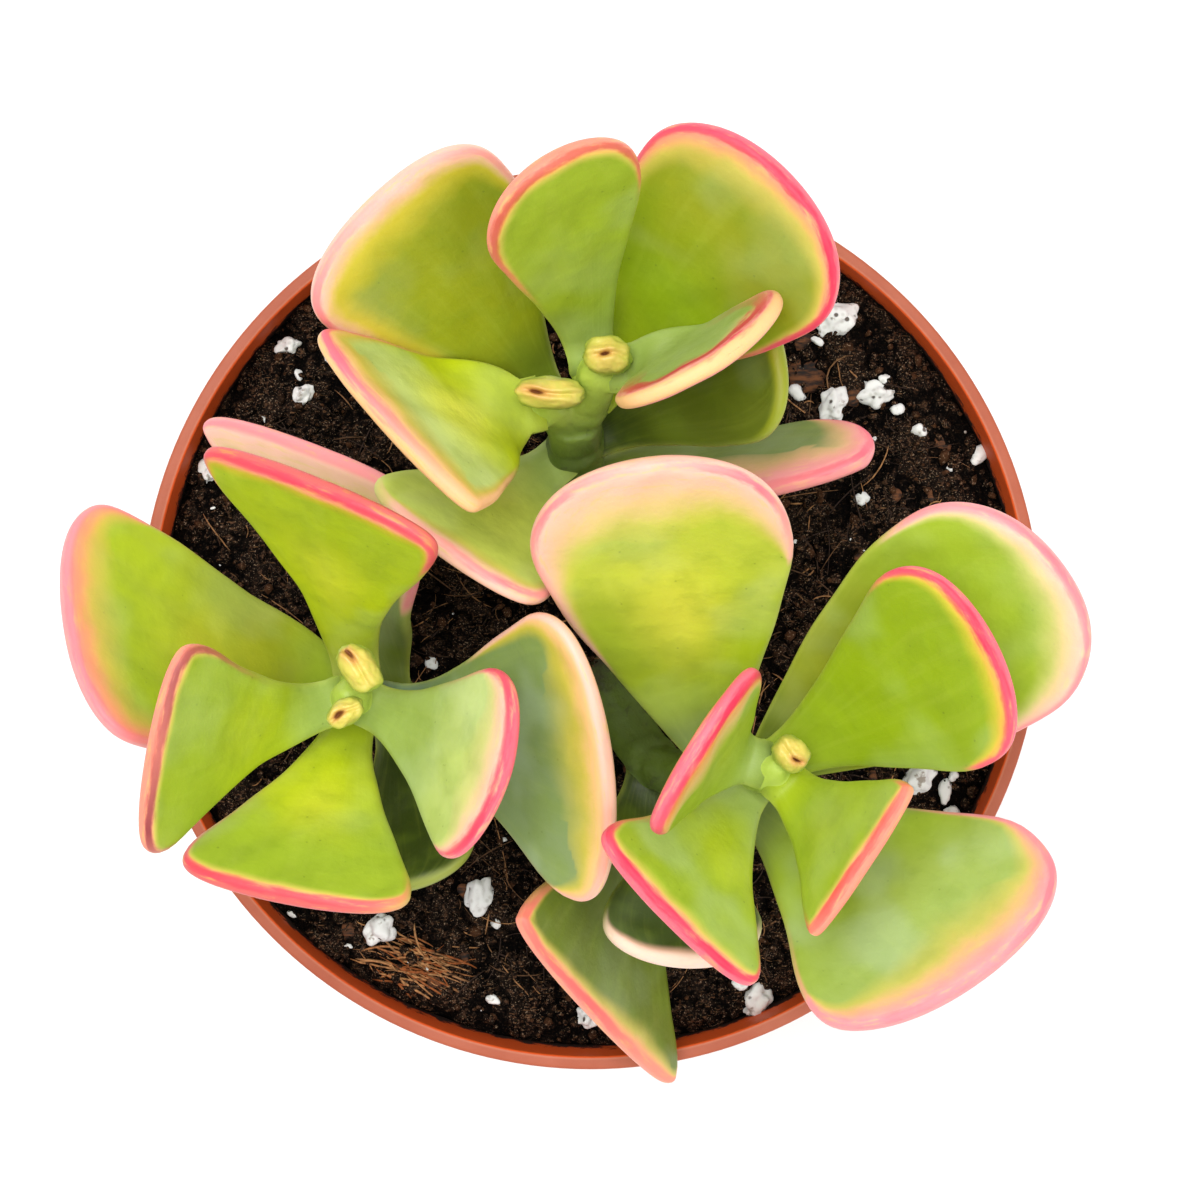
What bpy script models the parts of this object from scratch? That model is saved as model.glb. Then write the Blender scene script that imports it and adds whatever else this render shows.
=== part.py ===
"""Jade plant in a round plastic pot: three leafy shoots over dark soil.

Metres, +Z up. The origin is the centre of the pot's underside. Seen from above, +X runs to the
right and +Y to the top. The pot holds a plug of soil, three stems stand in holes in the soil,
and fleshy leaves grow from the stems in pairs, each pair turned about a quarter from the last.
"""
import math
from collections import namedtuple

import bmesh
import bpy
import numpy as np
from mathutils import Vector

MM = 0.001
GAP = 0.3

# Pot, in millimetres
POT_RIM_D = 120.0
POT_H = 100.0
POT_BASE_D = 86.0
WALL = 1.4
LIP = 1.8
LIP_EDGE = 0.45
COLLAR_H = 17.0
COLLAR_DRAFT = 0.7
COLLAR_STEP = 1.3
FLOOR = 1.8
FOOT_EDGE = 1.0
RECESS = 1.5
RECESS_IN_R = 23.0
RECESS_OUT_R = 37.0
RECESS_SLOPE = 1.0
DRAIN_HOLES = 8
DRAIN_HOLE_D = 8.0
DRAIN_SIDES = 14
POT_SIDES = 48
COLLAR_FOOT = POT_H - COLLAR_H

# Soil
SOIL_TOP = 94.0
SOIL_BUMP = 0.7
SOIL_SIDES = 36
SOIL_RINGS = 8
HOLE_ABOVE = 12.0

# Larger grains of perlite on the soil: place, width across, height and turn in degrees
Grain = namedtuple("Grain", "x y across tall turn")
GRAIN_NARROW = 0.78
GRAIN_LUMP = 0.16
GRAINS = (
    Grain(33.2, 40.3, 5.6, 3.8, 20),
    Grain(32.6, 28.9, 4.4, 3.4, 70),
    Grain(38.6, 30.6, 4.6, 2.8, 5),
    Grain(44.2, -21.6, 4.6, 3.4, 40),
    Grain(22.4, -51.3, 5.2, 4.0, 60),
    Grain(-28.4, -41.8, 4.8, 3.6, 35),
    Grain(-14.9, -37.2, 4.6, 3.0, 80),
    Grain(-0.4, -53.6, 3.4, 2.8, 25),
    Grain(-40.9, 36.9, 3.2, 2.4, 15),
    Grain(-38.6, 30.1, 3.0, 2.4, 50),
    Grain(-51.4, 20.3, 3.6, 2.6, 75),
)

# Stems: centre points from below the soil up, and the radii at the two ends
Stem = namedtuple("Stem", "route foot_r tip_r")
STEMS = {
    "left": Stem(
        ((-19.5, -14.6, 83), (-21.6, -13.8, 92), (-26, -11.8, 107), (-28.8, -10, 120), (-30, -9.3, 135)),
        4.0,
        2.3,
    ),
    "right": Stem(
        ((0.5, -4.0, 83), (2.2, -8.2, 92), (8, -18.5, 104), (17, -20.5, 119), (23.3, -17.8, 139)),
        4.1,
        2.4,
    ),
    "top": Stem(
        ((-2.3, 4.5, 83), (-2.1, 8.8, 92), (-1.9, 16, 105), (-2, 22, 116), (-2, 25.5, 124)),
        4.1,
        3.4,
    ),
    "top_a": Stem(((-2, 25, 121), (0.2, 28.6, 130), (1.8, 31.8, 138)), 3.0, 2.4),
    "top_b": Stem(((-2, 25, 120), (-4.2, 26.6, 127), (-5.6, 27.8, 133)), 3.0, 2.4),
}
STEM_SIDES = 12
STEM_STEPS = 3
ROUTE_STEPS = 60

# A leaf leaves its stem low, turns up to its rise, widens from the neck to its peak and ends
# in a blunt tip. Flare makes its sides open late, and full makes them turn sharply at the peak.
# Roll turns the blade about its own length, cup lifts its two edges, skew makes its left half
# wider than its right, and lean carries its left corner further out than its right.
Leaf = namedtuple("Leaf", "stem z heading rise length width roll peak flare full blunt cup gap skew lean")
NECK_W = 6.0
FOOT_T = 3.4
BLADE_T = 2.6
THICK_FADE = 0.22
FLANK_THIN = 0.18
RIM_R = 1.7
FOOT_RISE = 12.0
FOOT_BEND = 0.08
ROLL_EASE = 0.35
CUP_EASE = 0.4
LEAF_ROWS = (5, 6)
LEAF_ACROSS = 9


def leaf(stem, z, heading, rise, length, width, roll, **form):
    """A leaf's own values, with those that most leaves share."""
    shared = {
        "peak": 0.76,
        "flare": 1.3,
        "full": 8.0,
        "blunt": 2.3,
        "cup": 0.1,
        "gap": 0.75,
        "skew": 0.0,
        "lean": 0.0,
    }
    return Leaf(stem, z, heading, rise, length, width, roll, **{**shared, **form})


def fan_leaf(stem, z, heading, rise, length, width, roll, **form):
    """A young leaf: sides that open like a fan up to a nearly square end."""
    shared = {"peak": 0.86, "flare": 1.4, "full": 12.0, "blunt": 2.6, "cup": 0.0}
    return leaf(stem, z, heading, rise, length, width, roll, **{**shared, **form})


LEAVES = {
    "leaf_left_1a": fan_leaf("left", 129, 195, 58, 34, 26.5, -31, flare=1.6, skew=0.03),
    "leaf_left_1b": fan_leaf("left", 129, 336, 56, 30.5, 23.5, 8, peak=0.74, blunt=2.0, skew=-0.05),
    "leaf_left_2a": fan_leaf("left", 123, 97, 58, 40, 32, -33, peak=0.88, flare=1.7),
    "leaf_left_2b": fan_leaf("left", 123, 253, 54, 34, 28.5, 12, blunt=2.4, lean=0.08),
    "leaf_left_3a": leaf(
        "left", 116, 163, 39, 42.5, 33, 38, peak=0.8, flare=0.9, full=6, blunt=2.6, lean=-0.05
    ),
    "leaf_left_3b": leaf(
        "left", 117, 349, 48, 39.5, 36, 20, peak=0.82, full=10, blunt=2.5, skew=-0.05, lean=-0.1
    ),
    "leaf_left_4a": leaf(
        "left", 104, 103, 36, 36.5, 41, -50, peak=0.88, full=10, blunt=2.6, cup=0, skew=0.22
    ),
    "leaf_left_4b": leaf("left", 106, 278, 54, 28.5, 18, 5),
    "leaf_right_1a": fan_leaf("right", 136, 315, 61, 21.6, 21.5, 14, peak=0.93, full=14, blunt=3),
    "leaf_right_1b": fan_leaf(
        "right", 137, 164, 76, 24, 23, -16, peak=0.74, flare=1.2, full=8, blunt=2.2
    ),
    "leaf_right_2a": leaf(
        "right", 131, 33, 48, 39.5, 26, -4, peak=0.78, full=10, blunt=2.4, gap=0.9, lean=0.05
    ),
    "leaf_right_2b": fan_leaf("right", 131, 236, 54, 27, 26, -14),
    "leaf_right_3a": leaf("right", 120, 324, 39, 43, 35, -18, blunt=2.4, lean=0.15),
    "leaf_right_3b": leaf("right", 118, 104, 48, 53, 30, -9, peak=0.78, flare=1.35, skew=-0.05),
    "leaf_right_4a": leaf(
        "right", 126, 38, 33, 49, 30, 6, peak=0.72, flare=0.9, full=5, gap=0.9, skew=-0.04
    ),
    "leaf_right_4b": leaf("right", 112, 265, 45, 26, 20, 0),
    "leaf_right_5a": leaf(
        "right", 104, 255, 32, 33, 43, -54, peak=0.92, flare=1.5, full=12, blunt=2.6, cup=0, skew=0.1
    ),
    "leaf_top_a1": leaf("top_a", 136, 2, 68, 28, 24, -52, peak=0.7, full=6, blunt=2.1),
    "leaf_top_a2": leaf("top_a", 133, 102, 64, 41.5, 20.5, 20, gap=0.9),
    "leaf_top_a3": leaf("top_a", 126, 47, 46, 43, 30, -4, peak=0.74, flare=1.1, full=6, gap=1.4),
    "leaf_top_b1": fan_leaf("top_b", 130, 193.5, 62, 30.5, 29, 29, flare=1.3),
    "leaf_top_b2": leaf("top_b", 124, 128, 47, 41.5, 26.5, -6, peak=0.78, flare=1.2, blunt=2.5, gap=1.1),
    "leaf_top_c1": leaf("top", 117, 24, 45, 32, 20, -15, cup=0),
    "leaf_top_c2": leaf("top", 117, 221, 60, 31, 25.5, 15, peak=0.82, blunt=2.5, cup=0, skew=0.05),
    "leaf_top_c3": leaf(
        "top", 108, 4, 33, 37, 18, -60, peak=0.7, blunt=2.1, cup=0, skew=0.25, lean=0.2
    ),
}

# Buds: the newest pair of leaflets on each tip, still short and thick, over a flat growing tip
Bud = namedtuple("Bud", "stem heading rise length width thick apart")
BUDS = {
    "bud_left": Bud("left", 80, 62, 8.5, 4.6, 2.2, 1.2),
    "bud_right": Bud("right", 60, 78, 5.0, 3.8, 1.8, 0.5),
    "bud_top_a": Bud("top_a", 100, 80, 6.0, 5.6, 2.0, 0.9),
    "bud_top_b": Bud("top_b", 98, 78, 6.5, 7.6, 1.8, 0.7),
}
BUD_ROWS = (3, 4)
BUD_ACROSS = 5
BUD_NECK = 0.6
BUD_PEAK = 0.55
BUD_FLARE = 1.0
BUD_FULL = 3.0
BUD_BLUNT = 2.0
BUD_CUP = 0.12
BUD_LIFT = 0.2
BUD_CORE_R = 1.9
BUD_CORE_FLAT = 0.75

COLOURS = {
    "terracotta_plastic": ((0.62, 0.17, 0.09), 0.55),
    "soil": ((0.012, 0.009, 0.007), 0.95),
    "stem_green": ((0.22, 0.32, 0.12), 0.5),
    "leaf_green": ((0.38, 0.50, 0.05), 0.38),
    "bud_yellow": ((0.66, 0.58, 0.16), 0.45),
    "perlite_white": ((0.75, 0.74, 0.70), 0.9),
}


def clear_scene():
    """Start from an empty scene."""
    for item in list(bpy.data.objects):
        bpy.data.objects.remove(item, do_unlink=True)


def make_collection(name):
    """A collection linked to the scene."""
    found = bpy.data.collections.new(name)
    bpy.context.scene.collection.children.link(found)
    return found


def plain_material(name):
    """A Principled material with the piece's colour and roughness."""
    found = bpy.data.materials.get(name)
    if found:
        return found
    colour, rough = COLOURS[name]
    made = bpy.data.materials.new(name)
    made.use_nodes = True
    shader = made.node_tree.nodes["Principled BSDF"]
    shader.inputs["Base Color"].default_value = (*colour, 1.0)
    shader.inputs["Roughness"].default_value = rough
    shader.inputs["Metallic"].default_value = 0.0
    return made


def add_mesh(name, bm, material, collection):
    """Turns a bmesh, in metres, into a named object with its own material."""
    bmesh.ops.recalc_face_normals(bm, faces=bm.faces)
    mesh = bpy.data.meshes.new(name)
    bm.to_mesh(mesh)
    bm.free()
    piece = bpy.data.objects.new(name, mesh)
    collection.objects.link(piece)
    piece.data.materials.append(plain_material(material))
    for face in piece.data.polygons:
        face.use_smooth = True
    return piece


def hide_cutter(cutter):
    """Shows a cutter as wires and keeps it out of the render."""
    cutter.hide_render = True
    cutter.display_type = "WIRE"


def turned_bmesh(profile, sides):
    """A profile of (radius, height) in millimetres, outer side first, turned about Z with a Screw."""
    mesh = bpy.data.meshes.new("profile")
    points = [(r * MM, 0.0, z * MM) for r, z in profile]
    mesh.from_pydata(points, [(i, i + 1) for i in range(len(points) - 1)], [])
    spun = bpy.data.objects.new("profile", mesh)
    bpy.context.scene.collection.objects.link(spun)
    screw = spun.modifiers.new("turn", "SCREW")
    screw.angle = math.tau
    screw.steps = sides
    screw.render_steps = sides
    screw.use_merge_vertices = True
    screw.merge_threshold = 0.00001
    screw.use_normal_calculate = True
    bpy.context.view_layer.update()
    bm = bmesh.new()
    evaluated = spun.evaluated_get(bpy.context.evaluated_depsgraph_get())
    bm.from_mesh(evaluated.to_mesh())
    evaluated.to_mesh_clear()
    bpy.data.objects.remove(spun, do_unlink=True)
    bpy.data.meshes.remove(mesh)
    bmesh.ops.remove_doubles(bm, verts=bm.verts, dist=0.00001)
    return bm


def boolean(piece, other, kind, name):
    """Cuts or joins with the exact solver."""
    step = piece.modifiers.new(name, "BOOLEAN")
    step.operation = kind
    step.object = other
    step.solver = "EXACT"
    return step


def inner_wall_r(z):
    """The pot's inner radius at a height: a steep collar over a tapered body."""
    rim_in = POT_RIM_D / 2 - LIP
    collar_in = rim_in - COLLAR_DRAFT
    base_in = POT_BASE_D / 2 - WALL
    if z >= COLLAR_FOOT:
        return collar_in + (rim_in - collar_in) * (z - COLLAR_FOOT) / COLLAR_H
    return base_in + (collar_in - base_in) * (z - FLOOR) / (COLLAR_FOOT - FLOOR)


def make_pot(parts, cutters):
    """One moulded shell: rim collar, tapered wall, floor with a drain channel and its holes."""
    rim_r = POT_RIM_D / 2
    base_r = POT_BASE_D / 2
    collar_r = rim_r - COLLAR_DRAFT
    collar_in = inner_wall_r(COLLAR_FOOT)
    outside = [
        (rim_r - LIP_EDGE, POT_H),
        (rim_r, POT_H - LIP_EDGE),
        (collar_r, COLLAR_FOOT + LIP_EDGE),
        (collar_r - LIP_EDGE, COLLAR_FOOT),
        (collar_in + WALL, COLLAR_FOOT - COLLAR_STEP),
        (base_r, 2 * FOOT_EDGE),
        (base_r - FOOT_EDGE, 0.0),
        (RECESS_OUT_R, 0.0),
        (RECESS_OUT_R - RECESS_SLOPE, RECESS),
        (RECESS_IN_R + RECESS_SLOPE, RECESS),
        (RECESS_IN_R, 0.0),
        (0.0, 0.0),
    ]
    inside = [
        (0.0, FLOOR),
        (RECESS_IN_R, FLOOR),
        (RECESS_IN_R + RECESS_SLOPE, FLOOR + RECESS),
        (RECESS_OUT_R - RECESS_SLOPE, FLOOR + RECESS),
        (RECESS_OUT_R, FLOOR),
        (base_r - WALL - FOOT_EDGE, FLOOR),
        (base_r - WALL, FLOOR + FOOT_EDGE),
        (collar_in, COLLAR_FOOT),
        (rim_r - LIP, POT_H - LIP_EDGE),
        (rim_r - LIP + LIP_EDGE, POT_H),
        (rim_r - LIP_EDGE, POT_H),
    ]
    pot = add_mesh("pot", turned_bmesh(outside + inside, POT_SIDES), "terracotta_plastic", parts)
    ring_r = (RECESS_IN_R + RECESS_OUT_R) / 2
    holes = bmesh.new()
    for i in range(DRAIN_HOLES):
        angle = math.tau * i / DRAIN_HOLES
        made = bmesh.ops.create_cone(
            holes,
            cap_ends=True,
            segments=DRAIN_SIDES,
            radius1=DRAIN_HOLE_D / 2 * MM,
            radius2=DRAIN_HOLE_D / 2 * MM,
            depth=4 * FLOOR * MM,
        )
        place = Vector((ring_r * math.cos(angle), ring_r * math.sin(angle), FLOOR)) * MM
        bmesh.ops.translate(holes, verts=made["verts"], vec=place)
    cutter = add_mesh("drain_hole_cutter", holes, "terracotta_plastic", cutters)
    hide_cutter(cutter)
    boolean(pot, cutter, "DIFFERENCE", "drain holes")


def route_points(stem, steps):
    """A smooth curve through a stem's centre points, in millimetres, with the radius at each."""
    pts = [np.array(p, float) for p in stem.route]
    ends = [2 * pts[0] - pts[1], *pts, 2 * pts[-1] - pts[-2]]
    centres = []
    for i in range(len(pts) - 1):
        a, b, c, d = ends[i : i + 4]
        square = 2 * a - 5 * b + 4 * c - d
        cube = 3 * b - a - 3 * c + d
        for k in range(steps):
            t = k / steps
            centres.append(0.5 * (2 * b + (c - a) * t + square * t**2 + cube * t**3))
    centres.append(pts[-1])
    count = len(centres) - 1
    radii = [stem.foot_r + (stem.tip_r - stem.foot_r) * i / count for i in range(count + 1)]
    return centres, radii


def tube(name, centres, radii, material, collection):
    """A tapered tube along centre points: a bevelled curve made into a closed mesh."""
    curve = bpy.data.curves.new(name, "CURVE")
    curve.dimensions = "3D"
    curve.bevel_depth = MM
    curve.bevel_resolution = (STEM_SIDES - 4) // 2
    curve.use_fill_caps = True
    line = curve.splines.new("POLY")
    line.points.add(len(centres) - 1)
    for point, centre, radius in zip(line.points, centres, radii):
        point.co = (*(centre * MM), 1.0)
        point.radius = radius
    guide = bpy.data.objects.new(name, curve)
    bpy.context.scene.collection.objects.link(guide)
    bpy.context.view_layer.update()
    evaluated = guide.evaluated_get(bpy.context.evaluated_depsgraph_get())
    bm = bmesh.new()
    bm.from_mesh(evaluated.to_mesh())
    evaluated.to_mesh_clear()
    bpy.data.objects.remove(guide, do_unlink=True)
    bpy.data.curves.remove(curve)
    bmesh.ops.remove_doubles(bm, verts=bm.verts, dist=0.000002)
    return add_mesh(name, bm, material, collection)


def apply_modifiers(piece):
    """Keeps the evaluated mesh and drops the modifiers."""
    bpy.context.view_layer.update()
    evaluated = piece.evaluated_get(bpy.context.evaluated_depsgraph_get())
    mesh = bpy.data.meshes.new_from_object(evaluated)
    piece.modifiers.clear()
    piece.data = mesh


def make_stems(parts, cutters):
    """Two single stems and one that forks, each with the cutter for its hole in the soil."""
    holes = []
    for name in ("left", "right", "top"):
        centres, radii = route_points(STEMS[name], STEM_STEPS)
        tube("stem_" + name, centres, radii, "stem_green", parts)
        down = centres[0] - centres[1]
        below = centres[0] + down / np.linalg.norm(down) * GAP
        buried = [c for c in centres if c[2] < SOIL_TOP + HOLE_ABOVE]
        wide = [r + GAP for r in radii[: len(buried)]]
        hole = tube("hole_cutter_" + name, [below, *buried[1:]], wide, "soil", cutters)
        hide_cutter(hole)
        holes.append(hole)
    forked = bpy.data.objects["stem_top"]
    for name in ("top_a", "top_b"):
        centres, radii = route_points(STEMS[name], STEM_STEPS)
        branch = tube("branch_" + name, centres, radii, "stem_green", cutters)
        boolean(forked, branch, "UNION", name)
        apply_modifiers(forked)
        bpy.data.objects.remove(branch, do_unlink=True)
    return holes


def soil_bump(x, y):
    """The loose surface's rise and fall, in millimetres."""
    broad = math.sin(0.17 * x + 0.6) * math.cos(0.15 * y - 0.4)
    fine = math.sin(0.41 * x - 0.33 * y + 1.7) + math.sin(0.52 * y + 0.23 * x + 0.5)
    return SOIL_BUMP * (0.7 * broad + 0.45 * fine)


def grain_bmesh(grain, number, grow):
    """A lumpy, flattened grain centred on the soil's surface, its radii grown by some millimetres."""
    bm = bmesh.new()
    bmesh.ops.create_icosphere(bm, subdivisions=2, radius=1.0)
    turn = math.radians(grain.turn)
    seat = SOIL_TOP + soil_bump(grain.x, grain.y)
    for v in bm.verts:
        ripple = math.sin(5 * v.co.x + number) * math.sin(4 * v.co.y + 2 * v.co.z + number)
        lump = 1 - GRAIN_LUMP * (0.5 + 0.5 * ripple)
        x = v.co.x * (grain.across / 2 * lump + grow)
        y = v.co.y * (grain.across / 2 * GRAIN_NARROW * lump + grow)
        z = v.co.z * (grain.tall / 2 * lump + grow)
        across = grain.x + x * math.cos(turn) - y * math.sin(turn)
        along = grain.y + x * math.sin(turn) + y * math.cos(turn)
        v.co = Vector((across, along, seat + z)) * MM
    return bm


def make_grains(parts, cutters):
    """Grains of perlite, each half sunk in a dimple of its own; gives back the dimple cutters."""
    dimples = []
    for number, grain in enumerate(GRAINS, 1):
        add_mesh(f"perlite_{number:02d}", grain_bmesh(grain, number, 0.0), "perlite_white", parts)
        hollow = grain_bmesh(grain, number, GAP)
        dimple = add_mesh(f"dimple_cutter_{number:02d}", hollow, "soil", cutters)
        hide_cutter(dimple)
        dimples.append(dimple)
    return dimples


def make_soil(parts, cutters):
    """The plug of potting soil, clear of the pot all round, with its uneven top."""
    top_r = inner_wall_r(SOIL_TOP) - GAP
    low = FLOOR + RECESS + GAP
    profile = [
        (top_r, SOIL_TOP),
        (inner_wall_r(COLLAR_FOOT) - GAP, COLLAR_FOOT),
        (inner_wall_r(low + FOOT_EDGE) - GAP, low + FOOT_EDGE),
        (inner_wall_r(low) - GAP - FOOT_EDGE, low),
        (0.0, low),
    ]
    rings = [(top_r * i / SOIL_RINGS, SOIL_TOP) for i in range(SOIL_RINGS + 1)]
    bm = turned_bmesh(profile + rings, SOIL_SIDES)
    for v in bm.verts:
        if v.co.z > (SOIL_TOP - 0.1) * MM:
            v.co.z += soil_bump(v.co.x / MM, v.co.y / MM) * MM
    soil = add_mesh("soil", bm, "soil", parts)
    for cutter in cutters:
        boolean(soil, cutter, "DIFFERENCE", cutter.name)


def half_width(x, width, neck, peak, flare, full, blunt):
    """Half the blade's width at a fraction x of its length."""
    wide = width / 2
    if x < peak:
        a = x / peak
        opening = (full * a**flare - flare * a**full) / (full - flare)
        return neck / 2 + (wide - neck / 2) * opening
    b = (x - peak) / (1 - peak)
    return wide * max(0.0, 1 - b**blunt) ** (1 / blunt)


def blade_rows(peak, rows):
    """Fractions of the length for the blade's cross-sections, closer together near the tip."""
    low, high = rows
    lower = [peak * i / low for i in range(low)]
    upper = [peak + (1 - peak) * math.sin(math.pi / 2 * i / (high - 1)) for i in range(high)]
    return lower + upper


def blade_outline(item, shape):
    """Points round the blade's edge, laid flat, in millimetres."""
    rows = np.array(blade_rows(shape[2], (80, 80))[1:])
    half = np.array([half_width(x, *shape) for x in rows])
    sides = (half * (1 + item.skew), -half * (1 - item.skew))
    halves = [np.stack([rows * item.length + item.lean * side * rows**2, side], -1) for side in sides]
    return np.concatenate(halves)


def blade_frames(foot, heading, rise, length, roll, steps=240):
    """Centre line from the foot, with the directions along, across and up at each point of it."""
    x = np.linspace(0, 1, steps + 1)
    lift = np.radians(rise - (rise - FOOT_RISE) * np.exp(-x / FOOT_BEND))
    turn = math.radians(heading)
    along = np.stack([np.cos(lift) * math.cos(turn), np.cos(lift) * math.sin(turn), np.sin(lift)], -1)
    centre = np.vstack([np.zeros(3), np.cumsum((along[1:] + along[:-1]) / 2 * length / steps, 0)]) + foot
    level = np.tile((-math.sin(turn), math.cos(turn), 0.0), (steps + 1, 1))
    ease = np.clip(x / ROLL_EASE, 0, 1)
    tilt = math.radians(roll) * ease * ease * (3 - 2 * ease)
    up = np.cross(along, level)
    across = level * np.cos(tilt)[:, None] + up * np.sin(tilt)[:, None]
    return x, centre, along, across, np.cross(along, across)


def vector_at(x, fractions, vectors):
    """A vector read from a list of them at a fraction of the length."""
    return np.array([np.interp(x, fractions, vectors[:, k]) for k in range(3)])


def blade_bmesh(foot, item, shape, thick, mesh_counts):
    """A fleshy blade lofted through rounded cross-sections, closed at the foot and the tip."""
    frames = blade_frames(np.array(foot, float), item.heading, item.rise, item.length, item.roll)
    edge = blade_outline(item, shape)
    foot_t, blade_t = thick
    rows, across_count = mesh_counts
    wide = item.width / 2
    spread = [math.sin(math.pi / 2 * (2 * j / (across_count - 1) - 1)) for j in range(across_count)]
    bm = bmesh.new()
    rings = []
    for x in blade_rows(shape[2], rows)[:-1]:
        at, along, across, up = (vector_at(x, frames[0], frame) for frame in frames[1:])
        half = half_width(x, *shape)
        body = blade_t + (foot_t - blade_t) * math.exp(-x / THICK_FADE)
        edge_lift = item.cup * wide * min(1.0, x / CUP_EASE)
        top = []
        under = []
        for v in spread:
            side = v * half * (1 + math.copysign(item.skew, v))
            further = item.lean * side * x * x
            inward = 0.0
            if abs(v) < 1:
                reach = np.hypot(edge[:, 0] - x * item.length - further, edge[:, 1] - side).min()
                inward = min(1.0, reach / RIM_R)
            thickness = body / 2 * math.sqrt(1 - (1 - inward) ** 2) * (1 - FLANK_THIN * v * v)
            mid = at + along * further + across * side + up * edge_lift * (side / wide) ** 2
            top.append(bm.verts.new((mid + up * thickness) * MM))
            if abs(v) < 1:
                under.append(bm.verts.new((mid - up * thickness) * MM))
        rings.append(top + under[::-1])
    tip = bm.verts.new(vector_at(1.0, frames[0], frames[1]) * MM)
    count = len(rings[0])
    for a, b in zip(rings, rings[1:]):
        for j in range(count):
            k = (j + 1) % count
            if j < across_count - 1:
                bm.faces.new((a[j], a[k], b[k]))
                bm.faces.new((a[j], b[k], b[j]))
            else:
                bm.faces.new((a[j], a[k], b[j]))
                bm.faces.new((a[k], b[k], b[j]))
    for j in range(count):
        bm.faces.new((rings[-1][j], rings[-1][(j + 1) % count], tip))
    bm.faces.new(rings[0])
    return bm


def stem_at(name, z):
    """The stem's centre and radius where it passes a height."""
    centres, radii = route_points(STEMS[name], ROUTE_STEPS)
    i = min(range(len(centres)), key=lambda k: abs(centres[k][2] - z))
    return centres[i], radii[i]


def make_leaf(name, item, parts):
    """One leaf, its foot just clear of the stem it grows from."""
    centre, radius = stem_at(item.stem, item.z)
    turn = math.radians(item.heading)
    out = radius + item.gap
    foot = centre + np.array((out * math.cos(turn), out * math.sin(turn), 0.0))
    shape = (item.width, NECK_W, item.peak, item.flare, item.full, item.blunt)
    bm = blade_bmesh(foot, item, shape, (FOOT_T, BLADE_T), (LEAF_ROWS, LEAF_ACROSS))
    add_mesh(name, bm, "leaf_green", parts)


def bud_core(seat, lean):
    """The flattened dome of the growing tip, facing along its stem."""
    core = bmesh.new()
    bmesh.ops.create_uvsphere(core, u_segments=10, v_segments=6, radius=BUD_CORE_R * MM)
    for v in core.verts:
        v.co.z *= BUD_CORE_FLAT
    facing = Vector(lean).to_track_quat("Z", "Y").to_matrix()
    bmesh.ops.rotate(core, verts=core.verts, cent=(0, 0, 0), matrix=facing)
    bmesh.ops.translate(core, verts=core.verts, vec=seat * MM)
    return core


def make_bud(name, item, parts, cutters):
    """A pair of leaflets joined over the growing tip, on the end of its stem."""
    centres, _ = route_points(STEMS[item.stem], ROUTE_STEPS)
    lean = centres[-1] - centres[-4]
    lean = lean / np.linalg.norm(lean)
    seat = centres[-1] + lean * (GAP + BUD_CORE_R * BUD_CORE_FLAT)
    bud = add_mesh(name, bud_core(seat, lean), "bud_yellow", parts)
    shape = (item.width, item.width * BUD_NECK, BUD_PEAK, BUD_FLARE, BUD_FULL, BUD_BLUNT)
    for side in (0, 180):
        heading = item.heading + side
        turn = math.radians(heading)
        foot = seat + np.array((item.apart * math.cos(turn), item.apart * math.sin(turn), BUD_LIFT))
        leaflet_values = leaf(item.stem, 0, heading, item.rise, item.length, item.width, 0, cup=BUD_CUP)
        bm = blade_bmesh(foot, leaflet_values, shape, (item.thick, item.thick), (BUD_ROWS, BUD_ACROSS))
        leaflet = add_mesh("leaflet", bm, "bud_yellow", cutters)
        boolean(bud, leaflet, "UNION", "leaflet")
        apply_modifiers(bud)
        bpy.data.objects.remove(leaflet, do_unlink=True)


clear_scene()
part_collection = make_collection("potted_jade_plant")
cutter_collection = make_collection("cutters")
make_pot(part_collection, cutter_collection)
stem_holes = make_stems(part_collection, cutter_collection)
grain_dimples = make_grains(part_collection, cutter_collection)
make_soil(part_collection, stem_holes + grain_dimples)
for leaf_name, leaf_values in LEAVES.items():
    make_leaf(leaf_name, leaf_values, part_collection)
for bud_name, bud_values in BUDS.items():
    make_bud(bud_name, bud_values, part_collection, cutter_collection)
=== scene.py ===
"""Potted jade plant, dressed: a young succulent in a round nursery pot, seen from straight above.

The script follows the plant as it is potted up: pot, soil, perlite, litter, stems, leaves and
buds, then the floor, the lights and the camera. Sizes are in millimetres unless a name says
otherwise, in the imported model's frame: the origin is the centre of the pot's underside, +Z is up,
and seen from above +X runs to the right and +Y to the top.
"""
import math
from collections import namedtuple
from functools import partial

import bmesh
import bpy
import numpy as np
from mathutils import Matrix, Vector, noise


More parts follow.
